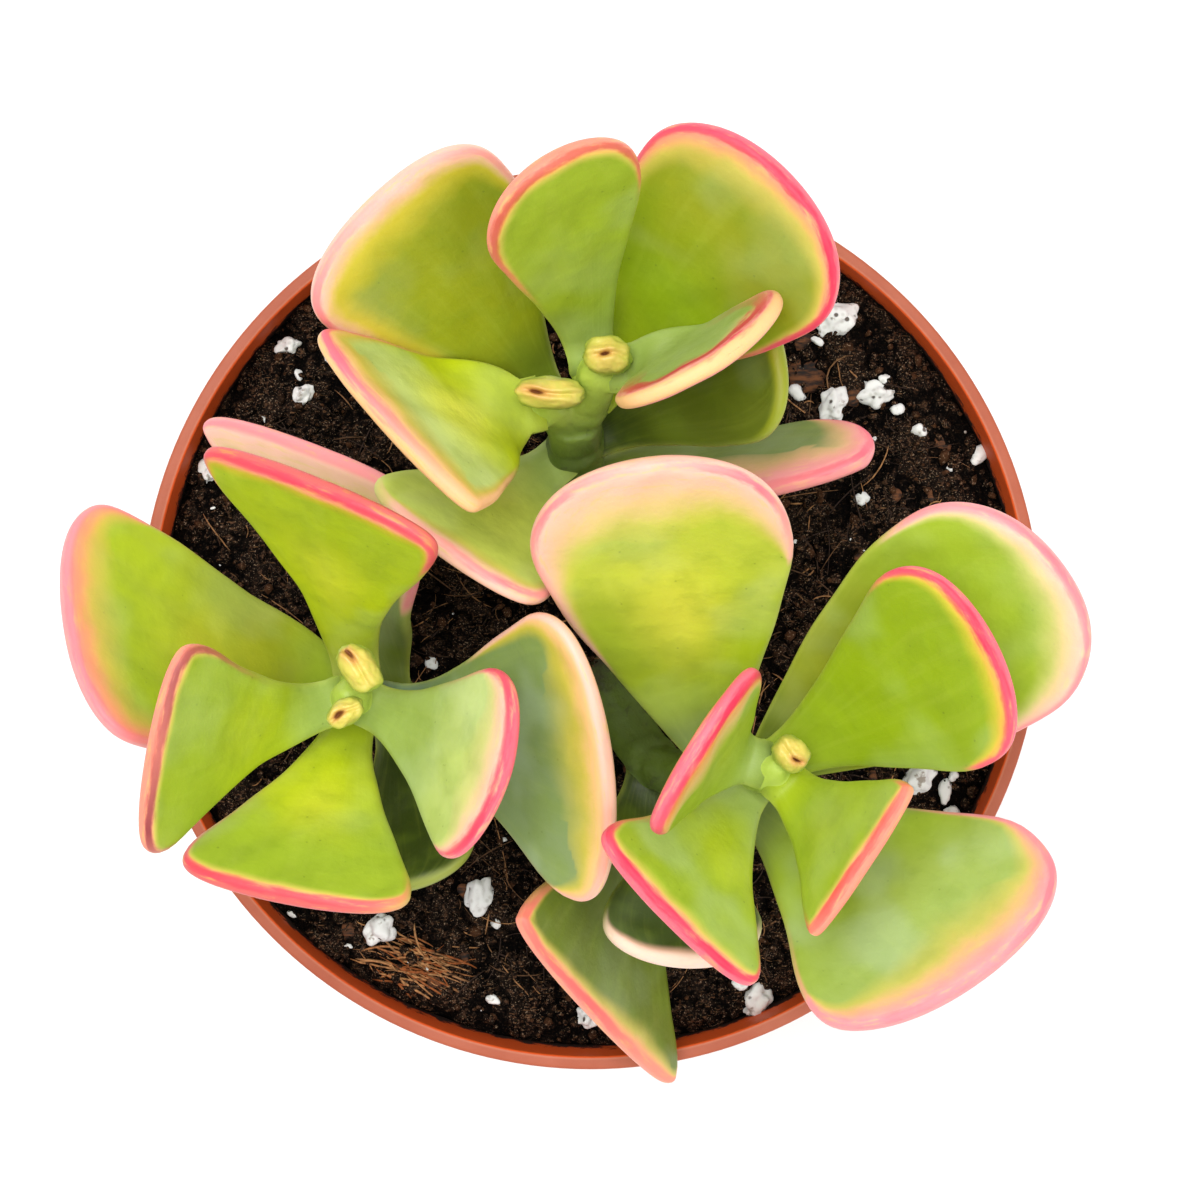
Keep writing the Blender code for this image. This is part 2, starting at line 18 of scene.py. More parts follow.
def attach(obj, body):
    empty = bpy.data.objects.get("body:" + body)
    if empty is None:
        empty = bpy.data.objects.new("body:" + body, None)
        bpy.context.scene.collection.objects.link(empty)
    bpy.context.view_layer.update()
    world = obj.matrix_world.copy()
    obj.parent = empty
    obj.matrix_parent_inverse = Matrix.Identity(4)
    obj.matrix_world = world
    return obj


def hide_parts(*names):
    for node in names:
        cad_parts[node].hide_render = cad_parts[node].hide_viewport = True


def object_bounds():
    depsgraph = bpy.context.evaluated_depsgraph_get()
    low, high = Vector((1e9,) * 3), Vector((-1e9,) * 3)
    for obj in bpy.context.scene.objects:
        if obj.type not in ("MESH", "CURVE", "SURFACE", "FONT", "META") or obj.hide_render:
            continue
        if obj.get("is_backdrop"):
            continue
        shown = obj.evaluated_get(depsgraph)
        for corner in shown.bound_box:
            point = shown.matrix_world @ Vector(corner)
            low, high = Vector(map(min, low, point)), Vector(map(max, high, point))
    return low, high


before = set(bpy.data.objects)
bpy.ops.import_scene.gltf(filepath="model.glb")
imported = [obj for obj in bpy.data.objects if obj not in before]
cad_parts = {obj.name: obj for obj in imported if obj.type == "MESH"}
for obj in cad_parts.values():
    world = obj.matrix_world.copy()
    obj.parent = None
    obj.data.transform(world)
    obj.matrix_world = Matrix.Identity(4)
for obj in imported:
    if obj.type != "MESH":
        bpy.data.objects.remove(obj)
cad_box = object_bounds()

# Pot
# A round nursery pot, moulded in one piece from terracotta-coloured plastic: a thin tapered
# wall, a deeper collar under a rounded lip, and a floor with a drain channel and its holes.

MM = 0.001
RIM_R = 60.0
POT_H = 100.0
FOOT_R = 43.0
FOOT_EDGE_R = 1.6
WALL = 1.4
LIP = 1.8
LIP_EDGE = 0.45
COLLAR_H = 17.0
COLLAR_DRAFT = 0.7
COLLAR_STEP = 1.3
COLLAR_FOOT = POT_H - COLLAR_H
COLLAR_IN_R = RIM_R - LIP - COLLAR_DRAFT
POT_FLOOR = 1.8
FLOOR_EDGE = 1.0
CHANNEL = 1.5
CHANNEL_SLOPE = 1.0
CHANNEL_IN_R = 23.0
CHANNEL_OUT_R = 37.0
DRAIN_HOLES = 8
DRAIN_HOLE_R = 4.0
DRILL_SIDES = 32
POT_SEGMENTS = 192
SHARP_DEGREES = 40


def linear(red, green, blue):
    """A colour given as 0 to 255 on a screen, as the linear colour that shaders take."""
    shares = (red / 255, green / 255, blue / 255)
    return tuple(((c + 0.055) / 1.055) ** 2.4 if c > 0.04 else c / 12.92 for c in shares) + (1.0,)


def add_piece(name, points, faces, material, slot, *nodes):
    """A smooth mesh from points in millimetres, riding on the plant's one body."""
    mesh = bpy.data.meshes.new(name)
    mesh.from_pydata((np.asarray(points, float) * MM).tolist(), [], faces)
    mesh.materials.append(material)
    mesh.shade_smooth()
    piece = bpy.data.objects.new(name, mesh)
    bpy.context.scene.collection.objects.link(piece)
    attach(piece, "root")
    if nodes:
        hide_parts(*nodes)
    return piece


def paint(piece, name, values):
    """Stores one number a point on a piece, for its material to read."""
    stored = piece.data.attributes.new(name, "FLOAT", "POINT")
    stored.data.foreach_set("value", np.asarray(values, np.float32))


def keep_evaluated(piece):
    """Applies a piece's modifiers to its mesh."""
    bpy.context.view_layer.update()
    seen = piece.evaluated_get(bpy.context.evaluated_depsgraph_get())
    mesh = bpy.data.meshes.new_from_object(seen)
    piece.modifiers.clear()
    piece.data = mesh
    mesh.shade_smooth()


def shader_node(kind, sockets, tree=None, **settings):
    """Adds a shader node; its sockets take values, or the outputs of nodes in the same tree."""
    fed = [value for value in sockets.values() if isinstance(value, bpy.types.NodeSocket)]
    tree = tree or fed[0].id_data
    made = tree.nodes.new("ShaderNode" + kind)
    for name, value in settings.items():
        setattr(made, name, value)
    for name, value in sockets.items():
        if isinstance(value, bpy.types.NodeSocket):
            tree.links.new(value, made.inputs[name])
        else:
            made.inputs[name].default_value = value
    return made


def object_place(tree):
    """Where a point lies in its piece, in metres."""
    return shader_node("TexCoord", {}, tree).outputs["Object"]


def mark(tree, label):
    """A number that was painted on the piece's points."""
    return shader_node("Attribute", {}, tree, attribute_name=label).outputs["Fac"]


def mix(amount, first, second):
    """Blends two colours by an amount."""
    return shader_node("Mix", {0: amount, 6: first, 7: second}, data_type="RGBA").outputs[2]


def maths(operation, first, second=0.0):
    """One arithmetic step."""
    return shader_node("Math", {0: first, 1: second}, operation=operation).outputs[0]


times = partial(maths, "MULTIPLY")
plus = partial(maths, "ADD")
minus = partial(maths, "SUBTRACT")
over = partial(maths, "DIVIDE")


def ramp(value, low, high, start=0.0, end=1.0):
    """Carries a value smoothly from start to end as it goes from low to high."""
    sockets = {0: value, 1: low, 2: high, 3: start, 4: end}
    return shader_node("MapRange", sockets, interpolation_type="SMOOTHSTEP").outputs[0]


def coats(colour, *layers):
    """Lays colours over a first one, each where the ramp that follows it in its layer is high."""
    for laid, *fade in layers:
        colour = mix(ramp(*fade), colour, laid)
    return colour


def cloud(place, scale, detail=2.0, roughness=0.5):
    """Soft noise from 0 to 1, its scale in features per metre."""
    sockets = {"Vector": place, "Scale": scale, "Detail": detail, "Roughness": roughness}
    return shader_node("TexNoise", sockets).outputs["Fac"]


def drawn_cloud(place, scales, detail):
    """Soft noise with its own scale along each axis, so that it runs into streaks."""
    return cloud(shader_node("Mapping", {0: place, 3: scales}).outputs[0], 1.0, detail)


def height_of(place):
    """A place's height."""
    return shader_node("SeparateXYZ", {0: place}).outputs[2]


def new_group(name, inputs, outputs):
    """An empty shader group with named sockets; gives the tree and its two ends."""
    group = bpy.data.node_groups.new(name, "ShaderNodeTree")
    for label, value in inputs.items():
        kind = "NodeSocketColor" if isinstance(value, tuple) else "NodeSocketFloat"
        group.interface.new_socket(label, in_out="INPUT", socket_type=kind).default_value = value
    for label, kind in outputs.items():
        group.interface.new_socket(label, in_out="OUTPUT", socket_type="NodeSocket" + kind)
    ends = [group.nodes.new("NodeGroup" + end) for end in ("Input", "Output")]
    return group, ends[0].outputs, ends[1].inputs


def use_group(tree, group, **sockets):
    """Places a shader group in a material with its own values."""
    return shader_node("Group", sockets, tree, node_tree=group).outputs


def new_material(name, **constants):
    """A material with its Principled shader; constants are set on the shader's own sockets."""
    made = bpy.data.materials.new(name)
    made.use_nodes = True
    shader = made.node_tree.nodes["Principled BSDF"]
    for label, value in constants.items():
        shader.inputs[label.replace("_", " ")].default_value = value
    return made, made.node_tree, shader


def finish_surface(shader, colour, roughness, height, depth):
    """Joins a colour, a roughness and a relief of some millimetres to a material's shader."""
    bump = shader_node("Bump", {"Height": height, "Distance": depth * MM, "Strength": 1.0})
    made = {"Base Color": colour, "Roughness": roughness, "Normal": bump.outputs["Normal"]}
    for label, value in made.items():
        shader.id_data.links.new(value, shader.inputs[label])


def ring_faces(rings, sides, turned_over=False):
    """Four-sided faces all the way round, from each ring of points to the next."""
    faces = []
    for i in range(rings - 1):
        for j in range(sides):
            a, b = i * sides + j, i * sides + (j + 1) % sides
            face = (a, b, b + sides, a + sides) if turned_over else (a, a + sides, b + sides, b)
            faces.append(face)
    return faces


def closed_faces(rings, sides):
    """The faces of rings, with fans to the two points that follow them: the first ring's middle
    and the last one's."""
    faces = ring_faces(rings, sides)
    middle, last = rings * sides, (rings - 1) * sides
    for j in range(sides):
        k = (j + 1) % sides
        faces += [(middle, j, k), (middle + 1, last + k, last + j)]
    return faces


def lathe(profile, segments):
    """A profile of (radius, height), outer side first, turned about Z; its ends are on the axis."""
    turn = np.linspace(0, math.tau, segments, endpoint=False)
    radii, heights = np.array(profile[1:-1]).T[..., None]
    rings = np.broadcast_arrays(radii * np.cos(turn), radii * np.sin(turn), heights)
    points = [*np.stack(rings, -1).reshape(-1, 3), (0, 0, profile[0][1]), (0, 0, profile[-1][1])]
    return points, closed_faces(len(radii), segments)


def arc(centre_r, centre_z, radius, start, end, steps):
    """Points round a corner of a profile, from one angle to another in degrees."""
    angles = np.radians(np.linspace(start, end, steps))
    return [(centre_r + radius * math.cos(a), centre_z + radius * math.sin(a)) for a in angles]


def inner_wall_r(z):
    """The pot's inner radius at a height."""
    if z >= COLLAR_FOOT:
        return COLLAR_IN_R + COLLAR_DRAFT * (z - COLLAR_FOOT) / COLLAR_H
    base_in = FOOT_R - WALL
    return base_in + (COLLAR_IN_R - base_in) * (z - POT_FLOOR) / (COLLAR_FOOT - POT_FLOOR)


CLAY = linear(167, 86, 58)
DEEP_CLAY = linear(155, 74, 47)
SCUFFED_CLAY = linear(200, 132, 106)
INNER_CLAY = linear(216, 82, 24)
# The colour of the painted highlight along the inner edge of the lip's top.
LIP_HIGHLIGHT_CLAY = linear(214, 140, 112)
SMEARED_MUD = linear(46, 24, 14)

soil_dust, given, result = new_group(
    "soil dust", {"Low": 0.09, "High": 0.1, "Spread": 0.004, "Scale": 300.0}, {"Mask": "Float"}
)
dust_place = object_place(soil_dust)
dust_height = height_of(dust_place)
dust_noise = minus(cloud(dust_place, given["Scale"], 5.0, 0.65), 0.5)
dust_level = plus(dust_height, times(dust_noise, given["Spread"]))
soil_dust.links.new(ramp(dust_level, given["Low"], given["High"], 1.0, 0.0), result["Mask"])

pot_plastic, tree, shader = new_material("terracotta_plastic", Specular_IOR_Level=0.35)
place = object_place(tree)
blotches = cloud(place, 55.0, 4.0, 0.6)
grain = cloud(place, 2600.0)
scuffs = drawn_cloud(place, (60.0, 60.0, 900.0), 3.0)
clay = coats(
    CLAY, (DEEP_CLAY, blotches, 0.3, 0.7), (SCUFFED_CLAY, scuffs, 0.62, 0.75, 0.0, 0.2)
)
flat_place = shader_node("VectorMath", {0: place, 1: (1.0, 1.0, 0.0)}, operation="MULTIPLY")
radius = shader_node("VectorMath", {0: flat_place.outputs[0]}, operation="LENGTH").outputs["Value"]
inside = mark(tree, "inner")
clay = mix(times(inside, 0.92), clay, INNER_CLAY)
# A painted highlight: a narrow lighter band along the inner edge of the lip's top, off the inner wall.
lip_highlight = ramp(radius, (RIM_R - LIP + 0.2) * MM, (RIM_R - LIP + 0.6) * MM, 0.4, 0.0)
lip_highlight = times(lip_highlight, minus(1.0, inside))
lip_highlight = times(lip_highlight, ramp(height_of(place), (POT_H - 1.0) * MM, (POT_H - 0.3) * MM))
clay = mix(lip_highlight, clay, LIP_HIGHLIGHT_CLAY)
smear = use_group(tree, soil_dust, Low=0.0905, High=0.0965, Spread=0.012, Scale=420.0)["Mask"]
smear = times(ramp(smear, 0.5, 0.9), inside)
clay = mix(smear, clay, SMEARED_MUD)
rough = plus(ramp(blotches, 0.2, 0.8, 0.48, 0.62), times(smear, 0.3))
finish_surface(shader, clay, rough, plus(times(grain, 0.4), times(smear, 1.2)), 0.12)

pot_profile = [
    (0.0, 0.0),
    (CHANNEL_IN_R, 0.0),
    (CHANNEL_IN_R + CHANNEL_SLOPE, CHANNEL),
    (CHANNEL_OUT_R - CHANNEL_SLOPE, CHANNEL),
    (CHANNEL_OUT_R, 0.0),
    *arc(FOOT_R - FOOT_EDGE_R, FOOT_EDGE_R, FOOT_EDGE_R, -90, -12, 6),
    (COLLAR_IN_R + WALL, COLLAR_FOOT - COLLAR_STEP),
    *arc(RIM_R - COLLAR_DRAFT - LIP_EDGE, COLLAR_FOOT + LIP_EDGE, LIP_EDGE, -90, 0, 5),
    *arc(RIM_R - LIP_EDGE, POT_H - LIP_EDGE, LIP_EDGE, 0, 90, 6),
    *arc(RIM_R - LIP + LIP_EDGE, POT_H - LIP_EDGE, LIP_EDGE, 90, 180, 6),
    (COLLAR_IN_R, COLLAR_FOOT),
    (FOOT_R - WALL, POT_FLOOR + FLOOR_EDGE),
    (FOOT_R - WALL - FLOOR_EDGE, POT_FLOOR),
    (CHANNEL_OUT_R, POT_FLOOR),
    (CHANNEL_OUT_R - CHANNEL_SLOPE, POT_FLOOR + CHANNEL),
    (CHANNEL_IN_R + CHANNEL_SLOPE, POT_FLOOR + CHANNEL),
    (CHANNEL_IN_R, POT_FLOOR),
    (0.0, POT_FLOOR),
]
pot_form = lathe(pot_profile, POT_SEGMENTS)
pot = add_piece("plastic_pot", *pot_form, pot_plastic, "terracotta_plastic", "pot")
drill = bmesh.new()
drain_ring_r = (CHANNEL_IN_R + CHANNEL_OUT_R) / 2
for i in range(DRAIN_HOLES):
    angle = math.tau * i / DRAIN_HOLES
    centre = Vector((drain_ring_r * math.cos(angle), drain_ring_r * math.sin(angle), POT_FLOOR))
    bmesh.ops.create_cone(
        drill,
        cap_ends=True,
        segments=DRILL_SIDES,
        radius1=DRAIN_HOLE_R * MM,
        radius2=DRAIN_HOLE_R * MM,
        depth=4 * POT_FLOOR * MM,
        matrix=Matrix.Translation(centre * MM),
    )
drill_mesh = bpy.data.meshes.new("drain_drill")
drill.to_mesh(drill_mesh)
drill.free()
drill_piece = bpy.data.objects.new("drain_drill", drill_mesh)
bpy.context.scene.collection.objects.link(drill_piece)
cut = pot.modifiers.new("drain holes", "BOOLEAN")
cut.operation = "DIFFERENCE"
cut.object = drill_piece
keep_evaluated(pot)
pot.data.set_sharp_from_angle(angle=math.radians(SHARP_DEGREES))
bpy.data.objects.remove(drill_piece, do_unlink=True)
wall_points = [v.co / MM for v in pot.data.vertices]
is_inner = [
    p.z > POT_FLOOR - 0.1 and math.hypot(p.x, p.y) < inner_wall_r(p.z) + 0.3 for p in wall_points
]
paint(pot, "inner", is_inner)

# Soil
# Dark, damp potting mix filled to just under the rim. The plug keeps the node's outline, and its
# top is a fine crumbly field with loose crumbs pressed and scattered over it.

SOIL_TOP = 94.0
SOIL_GAP = 0.3
SOIL_RINGS = 125
SOIL_SPOKES = 620
SOIL_HOLLOW = 0.75
CRUMBS = 9000
CRUMB_SIZES = (0.35, 2.3)
DAMP_EARTH = linear(6, 4, 4)
DRY_EARTH = linear(31, 23, 18)
SPECK_TAN = linear(92, 66, 49)
THREAD_TAN = linear(132, 96, 66)
CRUMB_BROWN = linear(82, 53, 34)
GLINT_TAN = linear(176, 150, 124)
# Painted shade: the near-black laid into the hollows of the soil's surface.
HOLLOW_SHADE_BLACK = linear(4, 3, 3)

soil_rng = np.random.default_rng(21)
soil_r = inner_wall_r(SOIL_TOP) - SOIL_GAP
soil_low = POT_FLOOR + CHANNEL + SOIL_GAP


def soil_rough(x, y):
    """The crumbly part of the soil's relief at a place: lumps, clods and crumbs."""
    lumps, clods, bits = (
        noise.noise(Vector((x / size, y / size, layer)))
        for size, layer in ((5.2, 3.0), (2.3, 9.0), (0.9, 17.0))
    )
    return lumps * 1.1 + abs(clods) * 1.9 + abs(bits) * 1.1


def soil_level(x, y):
    """The height of the soil's surface at a place."""
    broad = math.sin(0.17 * x + 0.6) * math.cos(0.15 * y - 0.4)
    fine = math.sin(0.41 * x - 0.33 * y + 1.7) + math.sin(0.52 * y + 0.23 * x + 0.5)
    edge = max(0.0, math.hypot(x, y) - 52.0) / 4.5
    return SOIL_TOP + 0.7 * (0.7 * broad + 0.45 * fine) + soil_rough(x, y) - 0.9 - 1.5 * edge * edge


def scattered(rng, count, margin):
    """Random places on the soil, a margin or more from its edge."""
    r = np.sqrt(rng.uniform(0, 1, count)) * (soil_r - margin)
    turn = rng.uniform(0, math.tau, count)
    return np.stack([r * np.cos(turn), r * np.sin(turn)], -1)


def set_on_soil(places, lifts):
    """Places on the soil as points, each a little above its surface."""
    return np.array([(x, y, soil_level(x, y) + lift) for (x, y), lift in zip(places, lifts)])


def small_solid(subdivisions):
    """A ball of triangles, as the start of a crumb or a grain: its points and faces."""
    ball = bmesh.new()
    bmesh.ops.create_icosphere(ball, subdivisions=subdivisions, radius=1.0)
    ball.verts.index_update()
    points = np.array([v.co for v in ball.verts])
    faces = [tuple(v.index for v in f.verts) for f in ball.faces]
    ball.free()
    return points, faces


def lump_cloud(centres, radii, flatness, solid, rng, jitter, lobes):
    """Irregular lumps made from one small solid, each turned, flattened and dented at random."""
    base, base_faces = solid
    count = len(centres)
    turns = np.linalg.qr(rng.normal(size=(count, 3, 3)))[0]
    dents = 1 + jitter * rng.normal(size=(count, len(base), 1))
    waves = np.sin(2.4 * base + rng.uniform(0, math.tau, (count, 1, 3))).sum(-1, keepdims=True)
    stretch = rng.uniform(0.45, 1.0, (count, 1, 3))
    points = np.einsum("nij,nkj->nki", turns, base * (dents + lobes * waves) * stretch)
    points[..., 2] *= flatness
    points = points * radii[:, None, None] + centres[:, None]
    faces = np.array(base_faces) + np.arange(count)[:, None, None] * len(base)
    return points.reshape(-1, 3), faces.reshape(-1, 3).tolist()


potting_mix, tree, shader = new_material("potting_mix", Specular_IOR_Level=0.04)
place = object_place(tree)
shade = mark(tree, "shade")
clumps = cloud(place, 260.0, 4.0, 0.65)
specks = cloud(place, 1500.0, 4.0, 0.7)
glints = cloud(place, 4200.0, 2.0, 0.6)
threads = drawn_cloud(place, (800.0, 4200.0, 800.0), 2.0)
earth = coats(
    DAMP_EARTH,
    (DRY_EARTH, clumps, 0.35, 0.65),
    (SPECK_TAN, specks, 0.52, 0.64, 0.0, 0.8),
    (THREAD_TAN, threads, 0.62, 0.7, 0.0, 0.6),
    (CRUMB_BROWN, shade, 0.72, 1.0, 0.0, 0.75),
    (GLINT_TAN, glints, 0.6, 0.7, 0.0, 0.75),
    # painted shade: near-black in the hollows of the plug
    (HOLLOW_SHADE_BLACK, shade, -0.4, 0.02, 0.92, 0.0),
)
relief = plus(times(specks, 0.8), times(clumps, 0.5))
finish_surface(shader, earth, ramp(specks, 0.3, 0.7, 0.92, 0.6), relief, 0.8)

spokes = np.linspace(0, math.tau, SOIL_SPOKES, endpoint=False)
spoke_ways = [(math.cos(a), math.sin(a)) for a in spokes]
points = []
hollow_shade = []
for i in range(1, SOIL_RINGS + 1):
    r = soil_r * (i / SOIL_RINGS) ** 0.85
    for way_x, way_y in spoke_ways:
        x, y = r * way_x, r * way_y
        points.append((x, y, soil_level(x, y)))
        # How deep the point lies in a hollow, which sets the painted shade there.
        hollow_shade.append(min(0.0, soil_rough(x, y) - SOIL_HOLLOW))
for z, inset in ((COLLAR_FOOT, 0.0), (soil_low + 1, 0.0), (soil_low, 1.0)):
    r = inner_wall_r(z) - SOIL_GAP - inset
    points.extend((r * way_x, r * way_y, z) for way_x, way_y in spoke_ways)
points += [(0.0, 0.0, soil_level(0.0, 0.0)), (0.0, 0.0, soil_low)]
faces = closed_faces(SOIL_RINGS + 3, SOIL_SPOKES)
soil = add_piece("soil_plug", points, faces, potting_mix, "soil", "soil")
# On the plug the shade mark holds this painted shade of the hollows; on the crumbs it holds their own
# tones.
paint(soil, "shade", np.append(hollow_shade, np.zeros(len(points) - len(hollow_shade))))

smallest, largest = CRUMB_SIZES
crumb_r = soil_rng.uniform(0, 1, CRUMBS) ** 2.8 * (largest - smallest) / 2 + smallest / 2
spots = scattered(soil_rng, CRUMBS, 0.4)
inside_pot = np.hypot(*spots.T) + crumb_r < soil_r + 0.1
crumb_r = crumb_r[inside_pot]
centres = set_on_soil(spots[inside_pot], crumb_r * 0.35)
ball = small_solid(1)
points, faces = lump_cloud(centres, crumb_r, 0.75, ball, soil_rng, 0.16, 0.16)
crumbs = add_piece("soil_crumbs", points, faces, potting_mix, "soil")
paint(crumbs, "shade", np.repeat(soil_rng.uniform(0, 1, len(centres)), len(ball[0])))

# Perlite
# Puffed white mineral grains mixed into the soil. The largest lie where the CAD grains are;
# smaller ones and crushed specks are strewn between them, each partly sunk and soil-stained.

Grain = namedtuple("Grain", "x y across tall turn")
GRAINS = (
    Grain(33.2, 40.3, 5.6, 3.8, 20),
    Grain(32.6, 28.9, 4.4, 3.4, 70),
    Grain(38.6, 30.6, 4.6, 2.8, 5),
    Grain(44.2, -21.6, 4.6, 3.4, 40),
    Grain(22.4, -51.3, 5.2, 4.0, 60),
    Grain(-28.4, -41.8, 4.8, 3.6, 35),
    Grain(-14.9, -37.2, 4.6, 3.0, 80),
    Grain(-0.4, -53.6, 3.4, 2.8, 25),
    Grain(-40.9, 36.9, 3.2, 2.4, 15),
    Grain(-38.6, 30.1, 3.0, 2.4, 50),
    Grain(-51.4, 20.3, 3.6, 2.6, 75),
)
SMALL_GRAINS = (  # x, y and size
    (30.4, 37.5, 1.4), (27.8, 30.2, 2.8), (33.4, 27.2, 1.7), (39.6, 32.2, 1.7),
    (41.6, 28.0, 1.9), (44.5, 25.4, 2.4), (52.3, 21.8, 2.8), (48.4, 20.2, 1.1),
    (36.5, 16.4, 2.6), (-34.9, 35.6, 2.3), (-39.5, 32.8, 1.4), (-32.9, 2.5, 1.5),
    (-32.5, -44.1, 1.3), (-13.0, -41.2, 1.4), (-12.9, -51.2, 1.9), (19.9, -49.2, 2.0),
    (47.6, -23.6, 2.9), (48.8, -21.2, 1.8), (48.6, -26.0, 2.4), (-40.4, -40.1, 1.0),
    (-21.5, -6.3, 1.8), (38.0, 24.0, 0.9), (-44.0, 27.0, 0.8), (8.0, -47.0, 0.9),
)
SPECKS = 90
SPECK_SIZES = (0.25, 0.7)
FOAM_SHADE = linear(206, 205, 200)
FOAM_WHITE = linear(226, 226, 223)
PIT_BROWN = linear(70, 52, 38)
STAIN_BROWN = linear(120, 100, 80)

grain_rng = np.random.default_rng(5)


def cells(place, scale):
    """The distance to the nearest of scattered spots, their scale in spots per metre."""
    return shader_node("TexVoronoi", {"Vector": place, "Scale": scale}).outputs["Distance"]


def turned(points, degrees):
    """Points turned about Z."""
    x, y, z = points.T
    sine, cosine = math.sin(math.radians(degrees)), math.cos(math.radians(degrees))
    return np.stack([x * cosine - y * sine, x * sine + y * cosine, z], -1)


perlite, tree, shader = new_material(
    "perlite",
    Subsurface_Weight=0.1,
    Subsurface_Radius=(0.0006, 0.0006, 0.0006),
    Specular_IOR_Level=0.25,
)
place = object_place(tree)
pores = cells(place, 950.0)
pits = cells(place, 620.0)
stain = cloud(place, 500.0, 4.0, 0.6)
foam = coats(FOAM_SHADE, (FOAM_WHITE, pores, 0.1, 0.4))
pitted = times(ramp(pits, 0.12, 0.24, 0.9, 0.0), ramp(cloud(place, 300.0), 0.45, 0.53))
foam = mix(pitted, foam, PIT_BROWN)
foam = coats(foam, (STAIN_BROWN, stain, 0.6, 0.7, 0.0, 0.75))
relief = minus(times(pores, 0.35), pitted)
finish_surface(shader, foam, ramp(stain, 0.3, 0.7, 0.75, 0.95), relief, 0.35)

ball_points, ball_faces = small_solid(4)
for number, grain in enumerate(GRAINS, 1):
    puff = [
        1.0
        + 0.5 * noise.noise(Vector(p) * 1.4 + Vector((number * 3.7, 0, 0)))
        + 0.1 * noise.noise(Vector(p) * 3.2 + Vector((0, number * 2.3, 0)))
        for p in ball_points
    ]
    half_sizes = (grain.across / 2, grain.across * 0.39, grain.tall / 2)
    lump = turned(ball_points * np.array(puff)[:, None] * half_sizes, grain.turn)
    lump += (grain.x, grain.y, soil_level(grain.x, grain.y) + 0.3)
    node = f"perlite_{number:02d}"
    add_piece(f"grain_{number:02d}", lump, ball_faces, perlite, "perlite_white", node)

spots = scattered(grain_rng, SPECKS, 1.0)
sizes = grain_rng.uniform(*SPECK_SIZES, SPECKS)
all_small = np.vstack([SMALL_GRAINS, np.column_stack([spots, sizes])])
centres = set_on_soil(all_small[:, :2], all_small[:, 2] * 0.12)
radii = all_small[:, 2] * 0.62
points, faces = lump_cloud(centres, radii, 0.7, small_solid(3), grain_rng, 0.05, 0.2)
add_piece("perlite_strewn", points, faces, perlite, "perlite_white")

# Litter
# What the potting mix sheds on its surface: brown coir fibres, a torn bundle of them near the
# front, and flat angular chips of bark. All of it lies loose on the soil.

FIBRES = 1150
FIBRE_STEPS = 7
FIBRE_SIDES = 4
BUNDLE_AT = (-23.6, -46.4)
BUNDLE_FIBRES = 90
CHIPS = 90
CHIP_SIZES = (0.5, 1.7)
LARGE_CHIP_AT = (28.9, 32.8)
LARGE_CHIP_R = 3.0
OLD_FIBRE = linear(52, 36, 26)
PALE_FIBRE = linear(184, 132, 84)
RUSTY_FIBRE = linear(150, 82, 36)
FIBRE_DIRT = linear(40, 26, 18)
BARK_DARK = linear(20, 12, 8)
BARK_BROWN = linear(104, 64, 38)

litter_rng = np.random.default_rng(11)


def strand(x, y, heading, length, radius, curl, lift):
    """A thin bent fibre that lies on the soil; gives its points and faces."""
    rings = []
    step = length / FIBRE_STEPS
    for i in range(FIBRE_STEPS + 1):
        z = soil_level(x, y) + radius + lift * math.sin(math.pi * i / FIBRE_STEPS)
        narrow = radius * (1 - 0.6 * abs(2 * i / FIBRE_STEPS - 1) ** 3)
        sine, cosine = math.sin(heading), math.cos(heading)
        for k in range(FIBRE_SIDES):
            a = math.tau * k / FIBRE_SIDES
            across = narrow * math.cos(a)
            rings.append((x - across * sine, y + across * cosine, z + narrow * math.sin(a)))
        x += step * cosine
        y += step * sine
        heading += curl / FIBRE_STEPS
    faces = ring_faces(FIBRE_STEPS + 1, FIBRE_SIDES, turned_over=True)
    ends = tuple(range(FIBRE_SIDES))
    return rings, [*faces, ends[::-1], tuple(FIBRE_STEPS * FIBRE_SIDES + k for k in ends)]


def gather(points, faces, more_points, more_faces):
    """Adds one body's points and faces to those of a mesh of many bodies."""
    faces.extend(tuple(v + len(points) for v in face) for face in more_faces)
    points.extend(more_points)


coir, tree, shader = new_material("coir", Specular_IOR_Level=0.3)
place = object_place(tree)
shade = mark(tree, "shade")
streaks = cloud(place, 1400.0, 3.0)
fibre_colour = coats(
    OLD_FIBRE,
    (PALE_FIBRE, shade, 0.35, 1.0),
    (RUSTY_FIBRE, shade, 1.0, 1.3),
    (FIBRE_DIRT, streaks, 0.4, 0.7, 0.0, 0.6),
)
finish_surface(shader, fibre_colour, ramp(streaks, 0.3, 0.7, 0.6, 0.85), streaks, 0.08)

